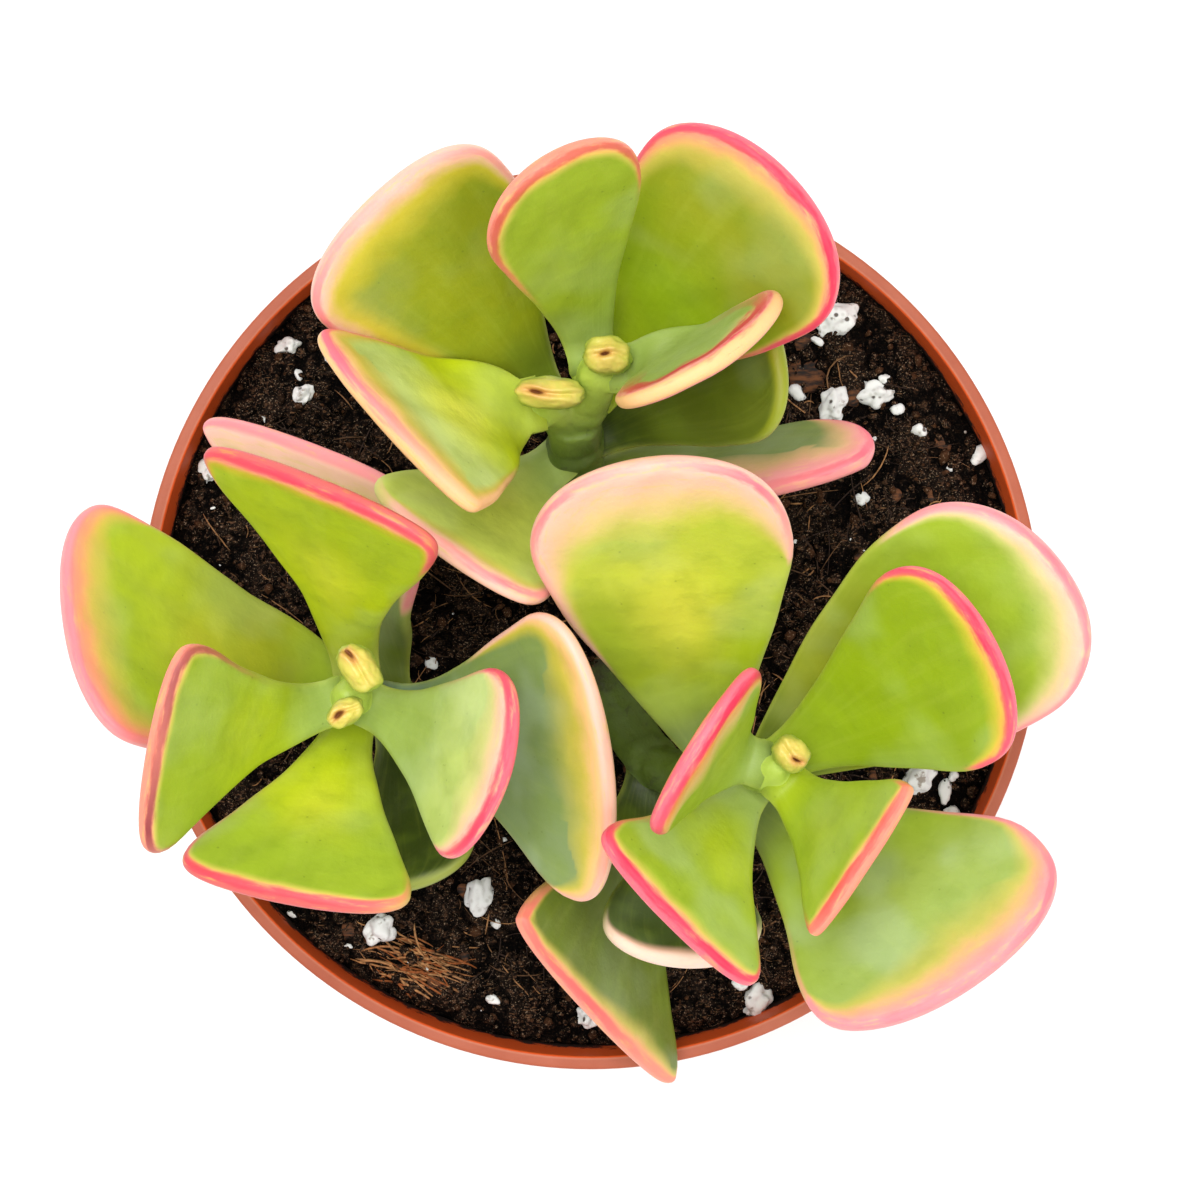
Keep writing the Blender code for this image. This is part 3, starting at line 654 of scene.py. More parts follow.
points = []
faces = []
shades = []
for i in range(FIBRES + BUNDLE_FIBRES):
    if i < FIBRES:
        x, y = scattered(litter_rng, 1, 6.0)[0]
        heading = litter_rng.uniform(0, math.tau)
        length = 1.5 + 9.0 * litter_rng.uniform(0, 1) ** 2.5
        thick = litter_rng.uniform(0.04, 0.12)
        tone = litter_rng.uniform(0, 1) ** 1.1
    else:
        x = BUNDLE_AT[0] + litter_rng.normal(0, 2.0)
        y = BUNDLE_AT[1] + litter_rng.normal(0, 1.2)
        heading = litter_rng.normal(2.75, 0.3) + (math.pi if i % 2 else 0.0)
        length = litter_rng.uniform(2.5, 6.5)
        thick = litter_rng.uniform(0.07, 0.2)
        tone = litter_rng.uniform(0.7, 1.4)
    end_r = math.hypot(x + length * math.cos(heading), y + length * math.sin(heading))
    if end_r > soil_r - 0.8:
        heading += math.pi
    curl = litter_rng.normal(0, 0.9 if i < FIBRES else 0.4)
    lift = litter_rng.uniform(0, 0.5)
    fibre = strand(x, y, heading, length, thick, curl, lift)
    gather(points, faces, *fibre)
    shades.extend([tone] * len(fibre[0]))
fibres = add_piece("coir_fibres", points, faces, coir, "soil")
paint(fibres, "shade", shades)

bark, tree, shader = new_material("bark", Specular_IOR_Level=0.3)
layers = drawn_cloud(object_place(tree), (400.0, 1500.0, 2500.0), 4.0)
bark_colour = coats(BARK_DARK, (BARK_BROWN, layers, 0.36, 0.64))
finish_surface(shader, bark_colour, ramp(layers, 0.3, 0.7, 0.7, 0.95), layers, 0.3)
spots = scattered(litter_rng, CHIPS, 4.0)
radii = litter_rng.uniform(*CHIP_SIZES, CHIPS)
spots[0] = LARGE_CHIP_AT
radii[0] = LARGE_CHIP_R
ball_points, ball_faces = small_solid(2)
block = ball_points / abs(ball_points).max(1, keepdims=True)
chip = (ball_points + 0.75 * (block - ball_points), ball_faces)
centres = set_on_soil(spots, radii * 0.14)
points, faces = lump_cloud(centres, radii, 0.3, chip, litter_rng, 0.05, 0.1)
add_piece("bark_chips", points, faces, bark, "soil")

# Stems
# Three fleshy green shoots that stand in the soil. Each leaf pair leaves a ring round the stem,
# and the top shoot forks in two. Tubes are run along the routes and fused into one skin.

Stem = namedtuple("Stem", "foot_r tip_r route rings seats")
STEMS = {
    "left": Stem(
        4.0,
        2.3,
        (
            (-19.5, -14.6, 83), (-21.6, -13.8, 92), (-26, -11.8, 107), (-28.8, -10, 120),
            (-30, -9.3, 135),
        ),
        (104.5, 110.5, 116.5, 123),
        (
            (104, 103), (106, 278), (116, 163), (117, 349),
            (123, 97), (123, 253), (129, 195), (129, 336),
        ),
    ),
    "right": Stem(
        4.1,
        2.4,
        ((0.5, -4.0, 83), (2.2, -8.2, 92), (8, -18.5, 104), (17, -20.5, 119), (23.3, -17.8, 139)),
        (104, 112, 119, 128.5),
        (
            (104, 255), (112, 265), (118, 104), (120, 324), (126, 38),
            (131, 33), (131, 236), (136, 315), (137, 164),
        ),
    ),
    "top": Stem(
        4.1,
        3.4,
        ((-2.3, 4.5, 83), (-2.1, 8.8, 92), (-1.9, 16, 105), (-2, 22, 116), (-2, 25.5, 124)),
        (108, 117),
        ((108, 4), (117, 24), (117, 221)),
    ),
    "top_a": Stem(
        3.0,
        2.4,
        ((-2, 25, 121), (0.2, 28.6, 130), (1.8, 31.8, 138)),
        (126,),
        ((126, 47), (133, 102), (136, 2)),
    ),
    "top_b": Stem(
        3.0,
        2.4,
        ((-2, 25, 120), (-4.2, 26.6, 127), (-5.6, 27.8, 133)),
        (124,),
        ((124, 128), (130, 193.5)),
    ),
}
SHOOTS = {"left": ("left",), "right": ("right",), "top": ("top", "top_a", "top_b")}
SEAT_OUT = 2.4
SEAT_HALF = (2.9, 1.4)
SEAT_DROP = 0.9
SEAT_COLLAR = 1.12
SEAT_RISE = 18.0
TIP_DOME = 3.4
STEM_SIDES = 36
STEM_VOXEL = 0.28
SOFTEN_STEPS = 16
YOUNG_NEAR = 3.0
YOUNG_FAR = 15.0
OLD_STEM = linear(84, 104, 24)
STEM_GREEN = linear(130, 152, 54)
STEM_BLOTCH = linear(84, 102, 44)
YOUNG_STEM = linear(170, 190, 76)
CRACK_BROWN = linear(48, 52, 22)
STEM_MUD = linear(40, 28, 20)


def route_points(stem, steps):
    """A smooth curve through a stem's centre points, with the radius at each."""
    pts = [np.array(p, float) for p in stem.route]
    ends = [2 * pts[0] - pts[1], *pts, 2 * pts[-1] - pts[-2]]
    centres = []
    for i in range(len(pts) - 1):
        a, b, c, d = ends[i : i + 4]
        square = 2 * a - 5 * b + 4 * c - d
        cube = 3 * b - a - 3 * c + d
        for k in range(steps):
            t = k / steps
            centres.append(0.5 * (2 * b + (c - a) * t + square * t**2 + cube * t**3))
    centres.append(pts[-1])
    count = len(centres) - 1
    radii = [stem.foot_r + (stem.tip_r - stem.foot_r) * i / count for i in range(count + 1)]
    return np.array(centres), np.array(radii)


def stem_tube(name):
    """A stem's own tube, swollen at its leaf rings; all but the forked trunk end in a dome."""
    centres, radii = route_points(STEMS[name], 24)
    along = np.gradient(centres, axis=0)
    along /= np.linalg.norm(along, axis=1)[:, None]
    from_tip = np.linalg.norm(centres - centres[-1], axis=1)
    points = []
    for centre, radius, way, left_over in zip(centres, radii, along, from_tip):
        if name != "top":
            radius = radius * math.sqrt(max(0.12, 1 - max(0.0, 1 - left_over / TIP_DOME) ** 2))
        over_rings = [centre[2] - z for z in STEMS[name].rings]
        swell = sum(math.exp(-((z / 1.1) ** 2)) for z in over_rings)
        groove = sum(math.exp(-(((z - 1.9) / 0.5) ** 2)) for z in over_rings)
        right = np.cross(way, (0.0, 1.0, 0.0))
        right /= np.linalg.norm(right)
        up = np.cross(way, right)
        for k in range(STEM_SIDES):
            a = math.tau * k / STEM_SIDES
            flute = 0.05 * math.sin(3 * a + centre[2] * 0.15)
            flute += 0.03 * math.sin(7 * a + centre[2] * 0.6)
            reach = radius * (1 + 0.07 * swell - 0.05 * groove + flute)
            points.append(centre + reach * (math.cos(a) * right + math.sin(a) * up))
    faces = ring_faces(len(centres), STEM_SIDES)
    ends = tuple(range(STEM_SIDES))
    return points, [*faces, ends, tuple(len(points) - STEM_SIDES + k for k in ends)[::-1]]


def stem_at(name, z):
    """The stem's centre and radius where it passes a height."""
    centres, radii = route_points(STEMS[name], 60)
    i = int(np.argmin(abs(centres[:, 2] - z)))
    return centres[i], radii[i]


def leaf_seat(name, z, heading, ball_points):
    """The swelling on a stem from which a leaf grows: a blunt lobe that points along the leaf."""
    centre, radius = stem_at(name, z)
    turn = math.radians(heading)
    tilt = math.radians(SEAT_RISE)
    flat_way = np.array((math.cos(turn), math.sin(turn), 0.0))
    outward = flat_way * math.cos(tilt) + (0.0, 0.0, math.sin(tilt))
    level = np.array((-math.sin(turn), math.cos(turn), 0.0))
    half_long = (radius + SEAT_OUT) * 0.6
    middle = centre + outward * (radius + SEAT_OUT - half_long) - (0, 0, SEAT_DROP)
    collar = SEAT_COLLAR if STEMS[name].route[-1][2] - z < 10 and name != "top" else 1.0
    stretched = ball_points * (half_long, SEAT_HALF[0] * collar, SEAT_HALF[1] * collar)
    return middle + stretched @ np.array((outward, level, np.cross(outward, level)))


stem_skin, tree, shader = new_material(
    "stem_skin", Subsurface_Weight=0.08, Subsurface_Radius=(0.0010, 0.0016, 0.0004)
)
place = object_place(tree)
young = mark(tree, "young")
blotches = cloud(place, 240.0, 3.0)
cracks = drawn_cloud(place, (700.0, 700.0, 260.0), 4.0)
green = coats(
    OLD_STEM,
    (STEM_GREEN, young, 0.0, 0.6),
    (STEM_BLOTCH, blotches, 0.4, 0.65, 0.0, 0.35),
    (YOUNG_STEM, young, 0.45, 0.9),
)
cracked = times(ramp(cracks, 0.6, 0.7, 0.0, 0.45), ramp(young, 0.5, 0.8, 1.0, 0.0))
green = mix(cracked, green, CRACK_BROWN)
stained = use_group(tree, soil_dust, Low=0.094, High=0.101, Spread=0.012, Scale=500.0)["Mask"]
green = mix(times(stained, 0.85), green, STEM_MUD)
relief = plus(cracks, times(blotches, 0.5))
finish_surface(shader, green, ramp(blotches, 0.3, 0.7, 0.45, 0.62), relief, 0.25)

ball_points, ball_faces = small_solid(3)
for name, tubes in SHOOTS.items():
    points = []
    faces = []
    for tube in tubes:
        gather(points, faces, *stem_tube(tube))
        for z, heading in STEMS[tube].seats:
            gather(points, faces, leaf_seat(tube, z, heading, ball_points), ball_faces)
    stem = add_piece("shoot_" + name, points, faces, stem_skin, "stem_green", "stem_" + name)
    fuse = stem.modifiers.new("fuse", "REMESH")
    fuse.mode = "VOXEL"
    fuse.voxel_size = STEM_VOXEL * MM
    fuse.use_smooth_shade = True
    soften = stem.modifiers.new("soften", "SMOOTH")
    soften.factor = 0.5
    soften.iterations = SOFTEN_STEPS
    keep_evaluated(stem)
    skin_points = np.array([v.co for v in stem.data.vertices]) / MM
    tips = [STEMS[tube].route[-1] for tube in tubes if tube != "top"]
    gap_to_tip = np.min([np.linalg.norm(skin_points - tip, axis=1) for tip in tips], axis=0)
    paint(stem, "young", np.clip(1 - (gap_to_tip - YOUNG_NEAR) / (YOUNG_FAR - YOUNG_NEAR), 0, 1))

# Leaves
# Thick water-filled leaves in opposite pairs, each pair turned about a quarter from the last.
# A blade is a loft of rounded sections: a narrow foot that clasps the stem, sides that widen to
# the shoulder, a blunt end, and a fleshy edge that strong light has turned yellow, pink and red.

FOOT_T = 3.4
BLADE_T = 2.6
THICK_FADE = 0.22
FLANK_THIN = 0.18
EDGE_R = 1.7
EDGE_SQUARE = 2.5
FOOT_RISE = 12.0
FOOT_BEND = 0.08
ROLL_EASE = 0.35
CUP_EASE = 0.4
FOOT_SUNK = 1.3
BLADE_ROWS = (22, 26)
BLADE_ACROSS = 45
MIDDLE_STEPS = 240
RIDGE = 1.2
EDGE_PLACES = (-1.0, -0.75, -0.45, -0.22, 0.0, 0.22, 0.45, 0.75, 1.0)

BRIGHT_LIME = linear(176, 190, 18)
LIME = linear(158, 176, 26)
APPLE = linear(146, 168, 38)
GRASS = linear(132, 156, 12)
OLIVE = linear(136, 144, 18)
MOSS = linear(96, 110, 22)
SHADE_GREEN = linear(56, 70, 14)
SAGE = linear(150, 170, 84)
PALE_SAGE = linear(180, 194, 108)
GLAUCOUS = linear(120, 140, 80)
SLATE_GREEN = linear(94, 120, 84)
GREY_GREEN = linear(122, 138, 72)
PALE_LIME = linear(194, 206, 88)
SPRING_GREEN = linear(176, 186, 54)
YELLOW = linear(204, 184, 52)
BUTTER = linear(208, 186, 86)
GOLD = linear(196, 164, 44)
STRAW = linear(188, 168, 96)
HONEY = linear(204, 166, 72)
CREAM = linear(212, 200, 130)
PEACH = linear(228, 178, 122)
APRICOT = linear(222, 148, 78)
PALE_PINK = linear(232, 178, 158)
PAPER_PINK = linear(228, 198, 178)
SALMON = linear(228, 134, 110)
PINK = linear(232, 142, 142)
ROSE = linear(226, 98, 112)
DUSTY_ROSE = linear(204, 92, 88)
CORAL = linear(216, 82, 70)
CRIMSON = linear(204, 36, 68)
BRICK = linear(170, 60, 40)
PLUM = linear(122, 34, 46)
SUNLIT_CORE = linear(216, 212, 66)
PATCH_GREEN = linear(112, 134, 16)
FIBRE_LIME = linear(190, 200, 84)
DOT_GREEN = linear(84, 100, 20)
BLOOM_GREY = linear(186, 204, 172)
PLAIN_RIM = linear(184, 192, 84)

# A leaf's foot is at a height on its stem. Its heading, rise and roll are in degrees, and peak to
# neck are its form: where it is widest and how it opens and closes, its cup, its gap from the
# stem, how much wider its left side is, how far its tip leans over, and the width of its foot.
Blade = namedtuple(
    "Blade",
    "stem z heading rise length width roll peak flare full blunt cup gap skew lean neck",
    defaults=(0.76, 1.3, 8.0, 2.3, 0.1, 0.75, 0.0, 0.0, 6.0),
)
Skin = namedtuple("Skin", "tints bands reds")
TINTS = ("Face", "Deep", "Foot", "Under", "Blush", "Margin", "Rim", "Line")
TUNES = {"Glow": 0.0, "Bloom": 0.1, "Ridge": 1.0, "Broad": 1.0, "Fade": 0.6}


def fan_blade(*values, **form):
    """A young leaf: sides that open like a fan up to a nearly square end."""
    fan = {"peak": 0.86, "flare": 1.4, "full": 12.0, "blunt": 2.6, "cup": 0.0}
    return Blade(*values, **(fan | form))


def skin(flesh, edge, bands, reds, **tunes):
    """A leaf's colours: four greens (end, middle, foot, underside) and four of its edge, inwards
    out (blush, margin, rim, ridge). Bands and reds give the tinted edge's width in millimetres
    and the ridge's redness at seven places, from the left side's foot over the tip to the right's;
    glow lightens the middle and bloom greys it, ridge is how far over the skin the red line runs
    from the middle of the rim, broad its width, and fade the margin's share of the tinted edge."""
    tints = dict(zip(TINTS, (*flesh, *edge))) | TUNES
    tints |= {label.title(): value for label, value in tunes.items()}
    return Skin(tints, (0, *bands, 0), (0, *reds, 0))


LEAVES = {
    "left_1a": (
        fan_blade("left", 129, 195, 58, 34, 26.5, -31, flare=1.6, skew=0.03),
        skin((APPLE, LIME, SAGE, SAGE), (BUTTER, SALMON, SALMON, PLUM),
             (0, 0, 1.2, 1.2, 1.5, 0.5, 0), (0, 0, 0.9, 0.6, 0.8, 0.5, 0), glow=0.1),
    ),
    "left_1b": (
        fan_blade("left", 129, 336, 56, 30.5, 23.5, 8, peak=0.74, blunt=2.0, skew=-0.05),
        skin((PALE_SAGE, SAGE, SAGE, SAGE), (CREAM, PALE_PINK, ROSE, CRIMSON),
             (0, 0.5, 6, 7.5, 6, 0, 0), (0, 0.2, 0.6, 0.6, 0.8, 0, 0), bloom=0.2),
    ),
    "left_2a": (
        fan_blade("left", 123, 97, 58, 40, 32, -33, peak=0.88, flare=1.7),
        skin((LIME, BRIGHT_LIME, OLIVE, SAGE), (GOLD, SALMON, DUSTY_ROSE, CRIMSON),
             (0, 0, 2.6, 2.4, 2.4, 0.2, 0), (0, 0, 0.6, 0.8, 0.6, 0.1, 0), glow=0.4),
    ),
    "left_2b": (
        fan_blade("left", 123, 253, 54, 34, 28.5, 12, blunt=2.4, lean=0.08),
        skin((APPLE, BRIGHT_LIME, LIME, SAGE), (BUTTER, SALMON, DUSTY_ROSE, CRIMSON),
             (0, 0, 0.8, 1.4, 1.4, 0.3, 0), (0, 0, 0.3, 0.55, 0.7, 0.3, 0), glow=0.4),
    ),
    "left_3a": (
        Blade("left", 116, 163, 39, 42.5, 33, 38,
              peak=0.8, flare=0.9, full=6, blunt=2.6, lean=-0.05),
        skin((LIME, OLIVE, APPLE, SAGE), (HONEY, SALMON, PINK, ROSE),
             (0, 4, 6, 6.5, 5.5, 0.3, 0), (0, 0.3, 0.6, 0.5, 0.3, 0, 0), glow=0.3),
    ),
    "left_3b": (
        Blade("left", 117, 349, 48, 39.5, 36, 20,
              peak=0.82, full=10, blunt=2.5, skew=-0.05, lean=-0.1),
        skin((GLAUCOUS, GLAUCOUS, SLATE_GREEN, SAGE), (YELLOW, PEACH, PALE_PINK, SALMON),
             (0, 2, 7, 9, 6.5, 0, 0), (0, 0, 0, 0.1, 0.6, 0.1, 0), bloom=0.3, fade=0.55),
    ),
    "left_4a": (
        Blade("left", 104, 103, 36, 36.5, 41, -50, peak=0.88, full=10, blunt=2.6, cup=0, skew=0.22),
        skin((SAGE, MOSS, MOSS, SAGE), (BUTTER, PALE_PINK, PINK, ROSE),
             (0, 6, 8, 8, 7, 4, 0), (0, 0.5, 0.3, 0.1, 0, 0, 0), glow=0.3, fade=0.95),
    ),
    "left_4b": (
        Blade("left", 106, 278, 54, 28.5, 18, 5),
        skin((SHADE_GREEN, SHADE_GREEN, SHADE_GREEN, MOSS), (SAGE, SAGE, SAGE, SALMON),
             (0, 0, 0, 0, 0, 0, 0), (0, 0, 0, 0, 0, 0, 0)),
    ),
    "right_1a": (
        fan_blade("right", 136, 315, 61, 21.6, 21.5, 14, peak=0.93, full=14, blunt=3),
        skin((APPLE, APPLE, LIME, SAGE), (BUTTER, SALMON, SALMON, CORAL),
             (0, 0, 1.3, 1.4, 1.4, 0, 0), (0, 0, 0.9, 1, 1, 0, 0), glow=0.1),
    ),
    "right_1b": (
        fan_blade("right", 137, 164, 76, 24, 23, -16, peak=0.74, flare=1.2, full=8, blunt=2.2),
        skin((APPLE, APPLE, SAGE, SAGE), (PEACH, APRICOT, ROSE, CRIMSON),
             (0, 0.6, 6, 6.5, 5.5, 1.2, 0), (0, 0.2, 0.6, 0.9, 1, 0.5, 0), glow=0.1),
    ),
    "right_2a": (
        Blade("right", 131, 33, 48, 39.5, 26, -4,
              peak=0.78, full=10, blunt=2.4, gap=0.9, lean=0.05),
        skin((GRASS, GRASS, APPLE, SAGE), (YELLOW, APRICOT, ROSE, CRIMSON),
             (0, 0, 1.6, 3, 3, 0, 0), (0, 0, 0.7, 1, 0.6, 0, 0)),
    ),
    "right_2b": (
        fan_blade("right", 131, 236, 54, 27, 26, -14),
        skin((APPLE, LIME, SAGE, SAGE), (BUTTER, SALMON, ROSE, CRIMSON),
             (0, 0.2, 1.8, 2.2, 2, 0.4, 0), (0, 0.2, 1, 0.9, 1, 0.4, 0), glow=0.1, bloom=0.2),
    ),
    "right_3a": (
        Blade("right", 120, 324, 39, 43, 35, -18, blunt=2.4, lean=0.15),
        skin((SAGE, APPLE, GREY_GREEN, SAGE), (BUTTER, PINK, PINK, ROSE),
             (0, 1, 7, 9, 6, 0.5, 0), (0, 0.1, 0.8, 0.3, 0.6, 0.1, 0),
             glow=0.1, bloom=0.25, fade=0.7),
    ),
    "right_3b": (
        Blade("right", 118, 104, 48, 53, 31.5, -9, flare=0.85, skew=0.02),
        skin((SPRING_GREEN, LIME, GREY_GREEN, SAGE), (BUTTER, PALE_PINK, PALE_PINK, ROSE),
             (0, 2.5, 11, 12, 8.5, 0, 0), (0, 0.1, 0.8, 0.15, 0.95, 0, 0), glow=0.9, fade=0.85),
    ),
    "right_4a": (
        Blade("right", 126, 38, 33, 49, 30, 6, peak=0.72, flare=0.9, full=5, gap=0.9, skew=-0.04),
        skin((APPLE, OLIVE, MOSS, SAGE), (CREAM, PALE_PINK, PINK, ROSE),
             (0, 0, 1.6, 4.5, 6.5, 2, 0), (0, 0, 0.2, 0.7, 0.4, 0, 0), glow=0.1, fade=0.75),
    ),
    "right_4b": (
        Blade("right", 112, 265, 45, 26, 20, 0),
        skin((SHADE_GREEN, MOSS, SHADE_GREEN, SHADE_GREEN),
             (PALE_PINK, PAPER_PINK, PAPER_PINK, PALE_PINK),
             (0, 0, 1, 1.4, 1, 0, 0), (0, 0, 0, 0, 0, 0, 0)),
    ),
    "right_5a": (
        Blade("right", 104, 255, 32, 33, 43, -54,
              peak=0.92, flare=1.5, full=12, blunt=2.6, cup=0, skew=0.1),
        skin((MOSS, MOSS, SHADE_GREEN, MOSS), (BUTTER, SALMON, SALMON, CRIMSON),
             (0, 0, 4, 2.2, 1.8, 0.6, 0), (0, 0, 0.2, 0.6, 0.5, 0.2, 0)),
    ),
    "top_a1": (
        Blade("top_a", 136, 2, 68, 28, 24, -57, peak=0.7, full=6, blunt=2.1),
        skin((SAGE, SAGE, SAGE, STRAW), (PEACH, PINK, PEACH, CRIMSON),
             (0, 2, 5, 4, 2.8, 2.4, 0), (0, 0.4, 0.9, 1, 1, 0.9, 0), ridge=3, broad=2.2),
    ),
    "top_a2": (
        Blade("top_a", 133, 102, 64, 41.5, 20.5, 20, gap=0.9),
        skin((APPLE, APPLE, SAGE, SAGE), (BUTTER, APRICOT, SALMON, BRICK),
             (0, 0.8, 1.8, 1.8, 1.4, 0, 0), (0, 0.2, 0.8, 0.7, 0.7, 0, 0)),
    ),
    "top_a3": (
        Blade("top_a", 126, 47, 46, 43, 30, -4, peak=0.74, flare=1.1, full=6, gap=1.4),
        skin((OLIVE, GRASS, LIME, SAGE), (BUTTER, SALMON, ROSE, CRIMSON),
             (0, 2, 6, 6, 3, 1.2, 0), (0, 0.5, 0.7, 0.9, 1, 0.6, 0)),
    ),
    "top_b1": (
        fan_blade("top_b", 130, 193.5, 62, 30.5, 29, 29, flare=0.75, skew=-0.06, lean=-0.1, neck=7),
        skin((PALE_SAGE, BRIGHT_LIME, BRIGHT_LIME, SAGE), (GOLD, PEACH, PEACH, ROSE),
             (0, 1.5, 4.5, 5.5, 6.5, 2, 0), (0, 0, 0.2, 0.7, 1, 0.9, 0), glow=0.6, broad=1.3),
    ),
    "top_b2": (
        Blade("top_b", 124, 128, 47, 41, 29.2, -6,
              peak=0.78, flare=1.1, blunt=2.6, gap=1.1, skew=0.13, lean=-0.13),
        skin((OLIVE, OLIVE, MOSS, SAGE), (YELLOW, PALE_PINK, PALE_PINK, ROSE),
             (2, 5, 7, 7, 4.5, 0.2, 0), (0.4, 0.8, 0.55, 0.2, 0.5, 0.2, 0), fade=0.5),
    ),
    # This leaf lies under the leaves above it: its dark moss and shade greens are painted shade.
    "top_c1": (
        Blade("top", 117, 24, 45, 32, 20, -15, cup=0),
        skin((MOSS, MOSS, SHADE_GREEN, MOSS), (OLIVE, OLIVE, OLIVE, STRAW),
             (0, 0, 0.6, 1.2, 0.6, 0, 0), (0, 0, 0, 0.2, 0, 0, 0)),
    ),
    "top_c2": (
        Blade("top", 117, 221, 60, 31, 25.5, 15, peak=0.82, blunt=2.5, cup=0, skew=0.05),
        skin((PALE_LIME, PALE_LIME, SAGE, SAGE), (BUTTER, PALE_PINK, PALE_PINK, ROSE),
             (0, 1, 3, 3, 0.5, 0, 0), (0, 0.2, 0.8, 0.4, 0, 0, 0), glow=0.3),
    ),
    "top_c3": (
        Blade("top", 108, 4, 33, 38, 18, -60, peak=0.66, blunt=1.65, cup=0, skew=0.25, lean=0.2),
        skin((GREY_GREEN, GREY_GREEN, MOSS, SAGE), (PEACH, PINK, PINK, ROSE),
             (0, 0, 5, 8.5, 11, 9, 4), (0, 0, 0.8, 1, 0.6, 0, 0)),
    ),
}


def half_width(x, item):
    """Half the blade's width at fractions x of its length."""
    foot, wide = item.neck / 2, item.width / 2
    a = np.clip(x / item.peak, 0, 1)
    opening = (item.full * a**item.flare - item.flare * a**item.full) / (item.full - item.flare)
    b = np.clip((x - item.peak) / (1 - item.peak), 0, 1)
    closing = wide * np.clip(1 - b**item.blunt, 0, 1) ** (1 / item.blunt)
    return np.where(x < item.peak, foot + (wide - foot) * opening, closing)


def blade_rows(peak, low, high):
    """Fractions of the length for the cross-sections, closer together near the tip."""
    lower = peak * np.arange(low) / low
    upper = peak + (1 - peak) * np.sin(math.pi / 2 * np.arange(high) / (high - 1))
    return np.concatenate([lower, upper])


def side_reach(x, side, item, seed):
    """How far the blade's edge lies from its middle line on one side, with a slight wave."""
    wave = 0.012 * np.sin(9 * x + seed + side) + 0.007 * np.sin(23 * x + 2.3 * seed + 2 * side)
    ease = np.clip(x * 4, 0, 1)
    return half_width(x, item) * (1 + side * item.skew) * (1 + ease * wave)


def edge_ring(item, seed):
    """The blade's edge laid flat, from the left foot over the tip to the right, and how far
    round each point lies, from -1 to 1 with the tip at 0."""
    x = blade_rows(item.peak, 90, 90)
    halves = []
    for side in (1, -1):
        out = side * side_reach(x, side, item, seed)
        halves.append(np.stack([x * item.length + item.lean * out * x * x, out], -1))
    ring = np.vstack([halves[0], halves[1][-2::-1]])
    gone = np.concatenate([[0.0], np.cumsum(np.hypot(*np.diff(ring, axis=0).T))])
    half = gone[len(x) - 1]
    around = np.where(gone <= half, gone / half - 1, (gone - half) / (gone[-1] - half))
    kept = ring[:, 0] > 0
    return ring[kept], around[kept]


def plump(inset):
    """How full the blade is at a distance from its edge: a fleshy, nearly square rim."""
    return (1 - (1 - np.clip(inset / EDGE_R, 0, 1)) ** EDGE_SQUARE) ** (1 / EDGE_SQUARE)


def skin_reach(inset):
    """The distance over the skin from the middle of the rim, round its ridge onto the face."""
    steps = np.linspace(0, EDGE_R, 200)
    rise = BLADE_T / 2 * plump(steps)
    gone = np.concatenate([[0.0], np.cumsum(np.hypot(np.diff(steps), np.diff(rise)))])
    return np.interp(inset, steps, gone) + np.maximum(inset - EDGE_R, 0)


def ringed(above, below):
    """Rows of values for a leaf's upper skin, then for its underside, back to the left edge; the
    first row is there twice, for the end that is sunk in the stem."""
    rows = np.concatenate([above[:-1], below[:-1, -2:0:-1]], 1)
    return np.concatenate([rows[:1], rows])


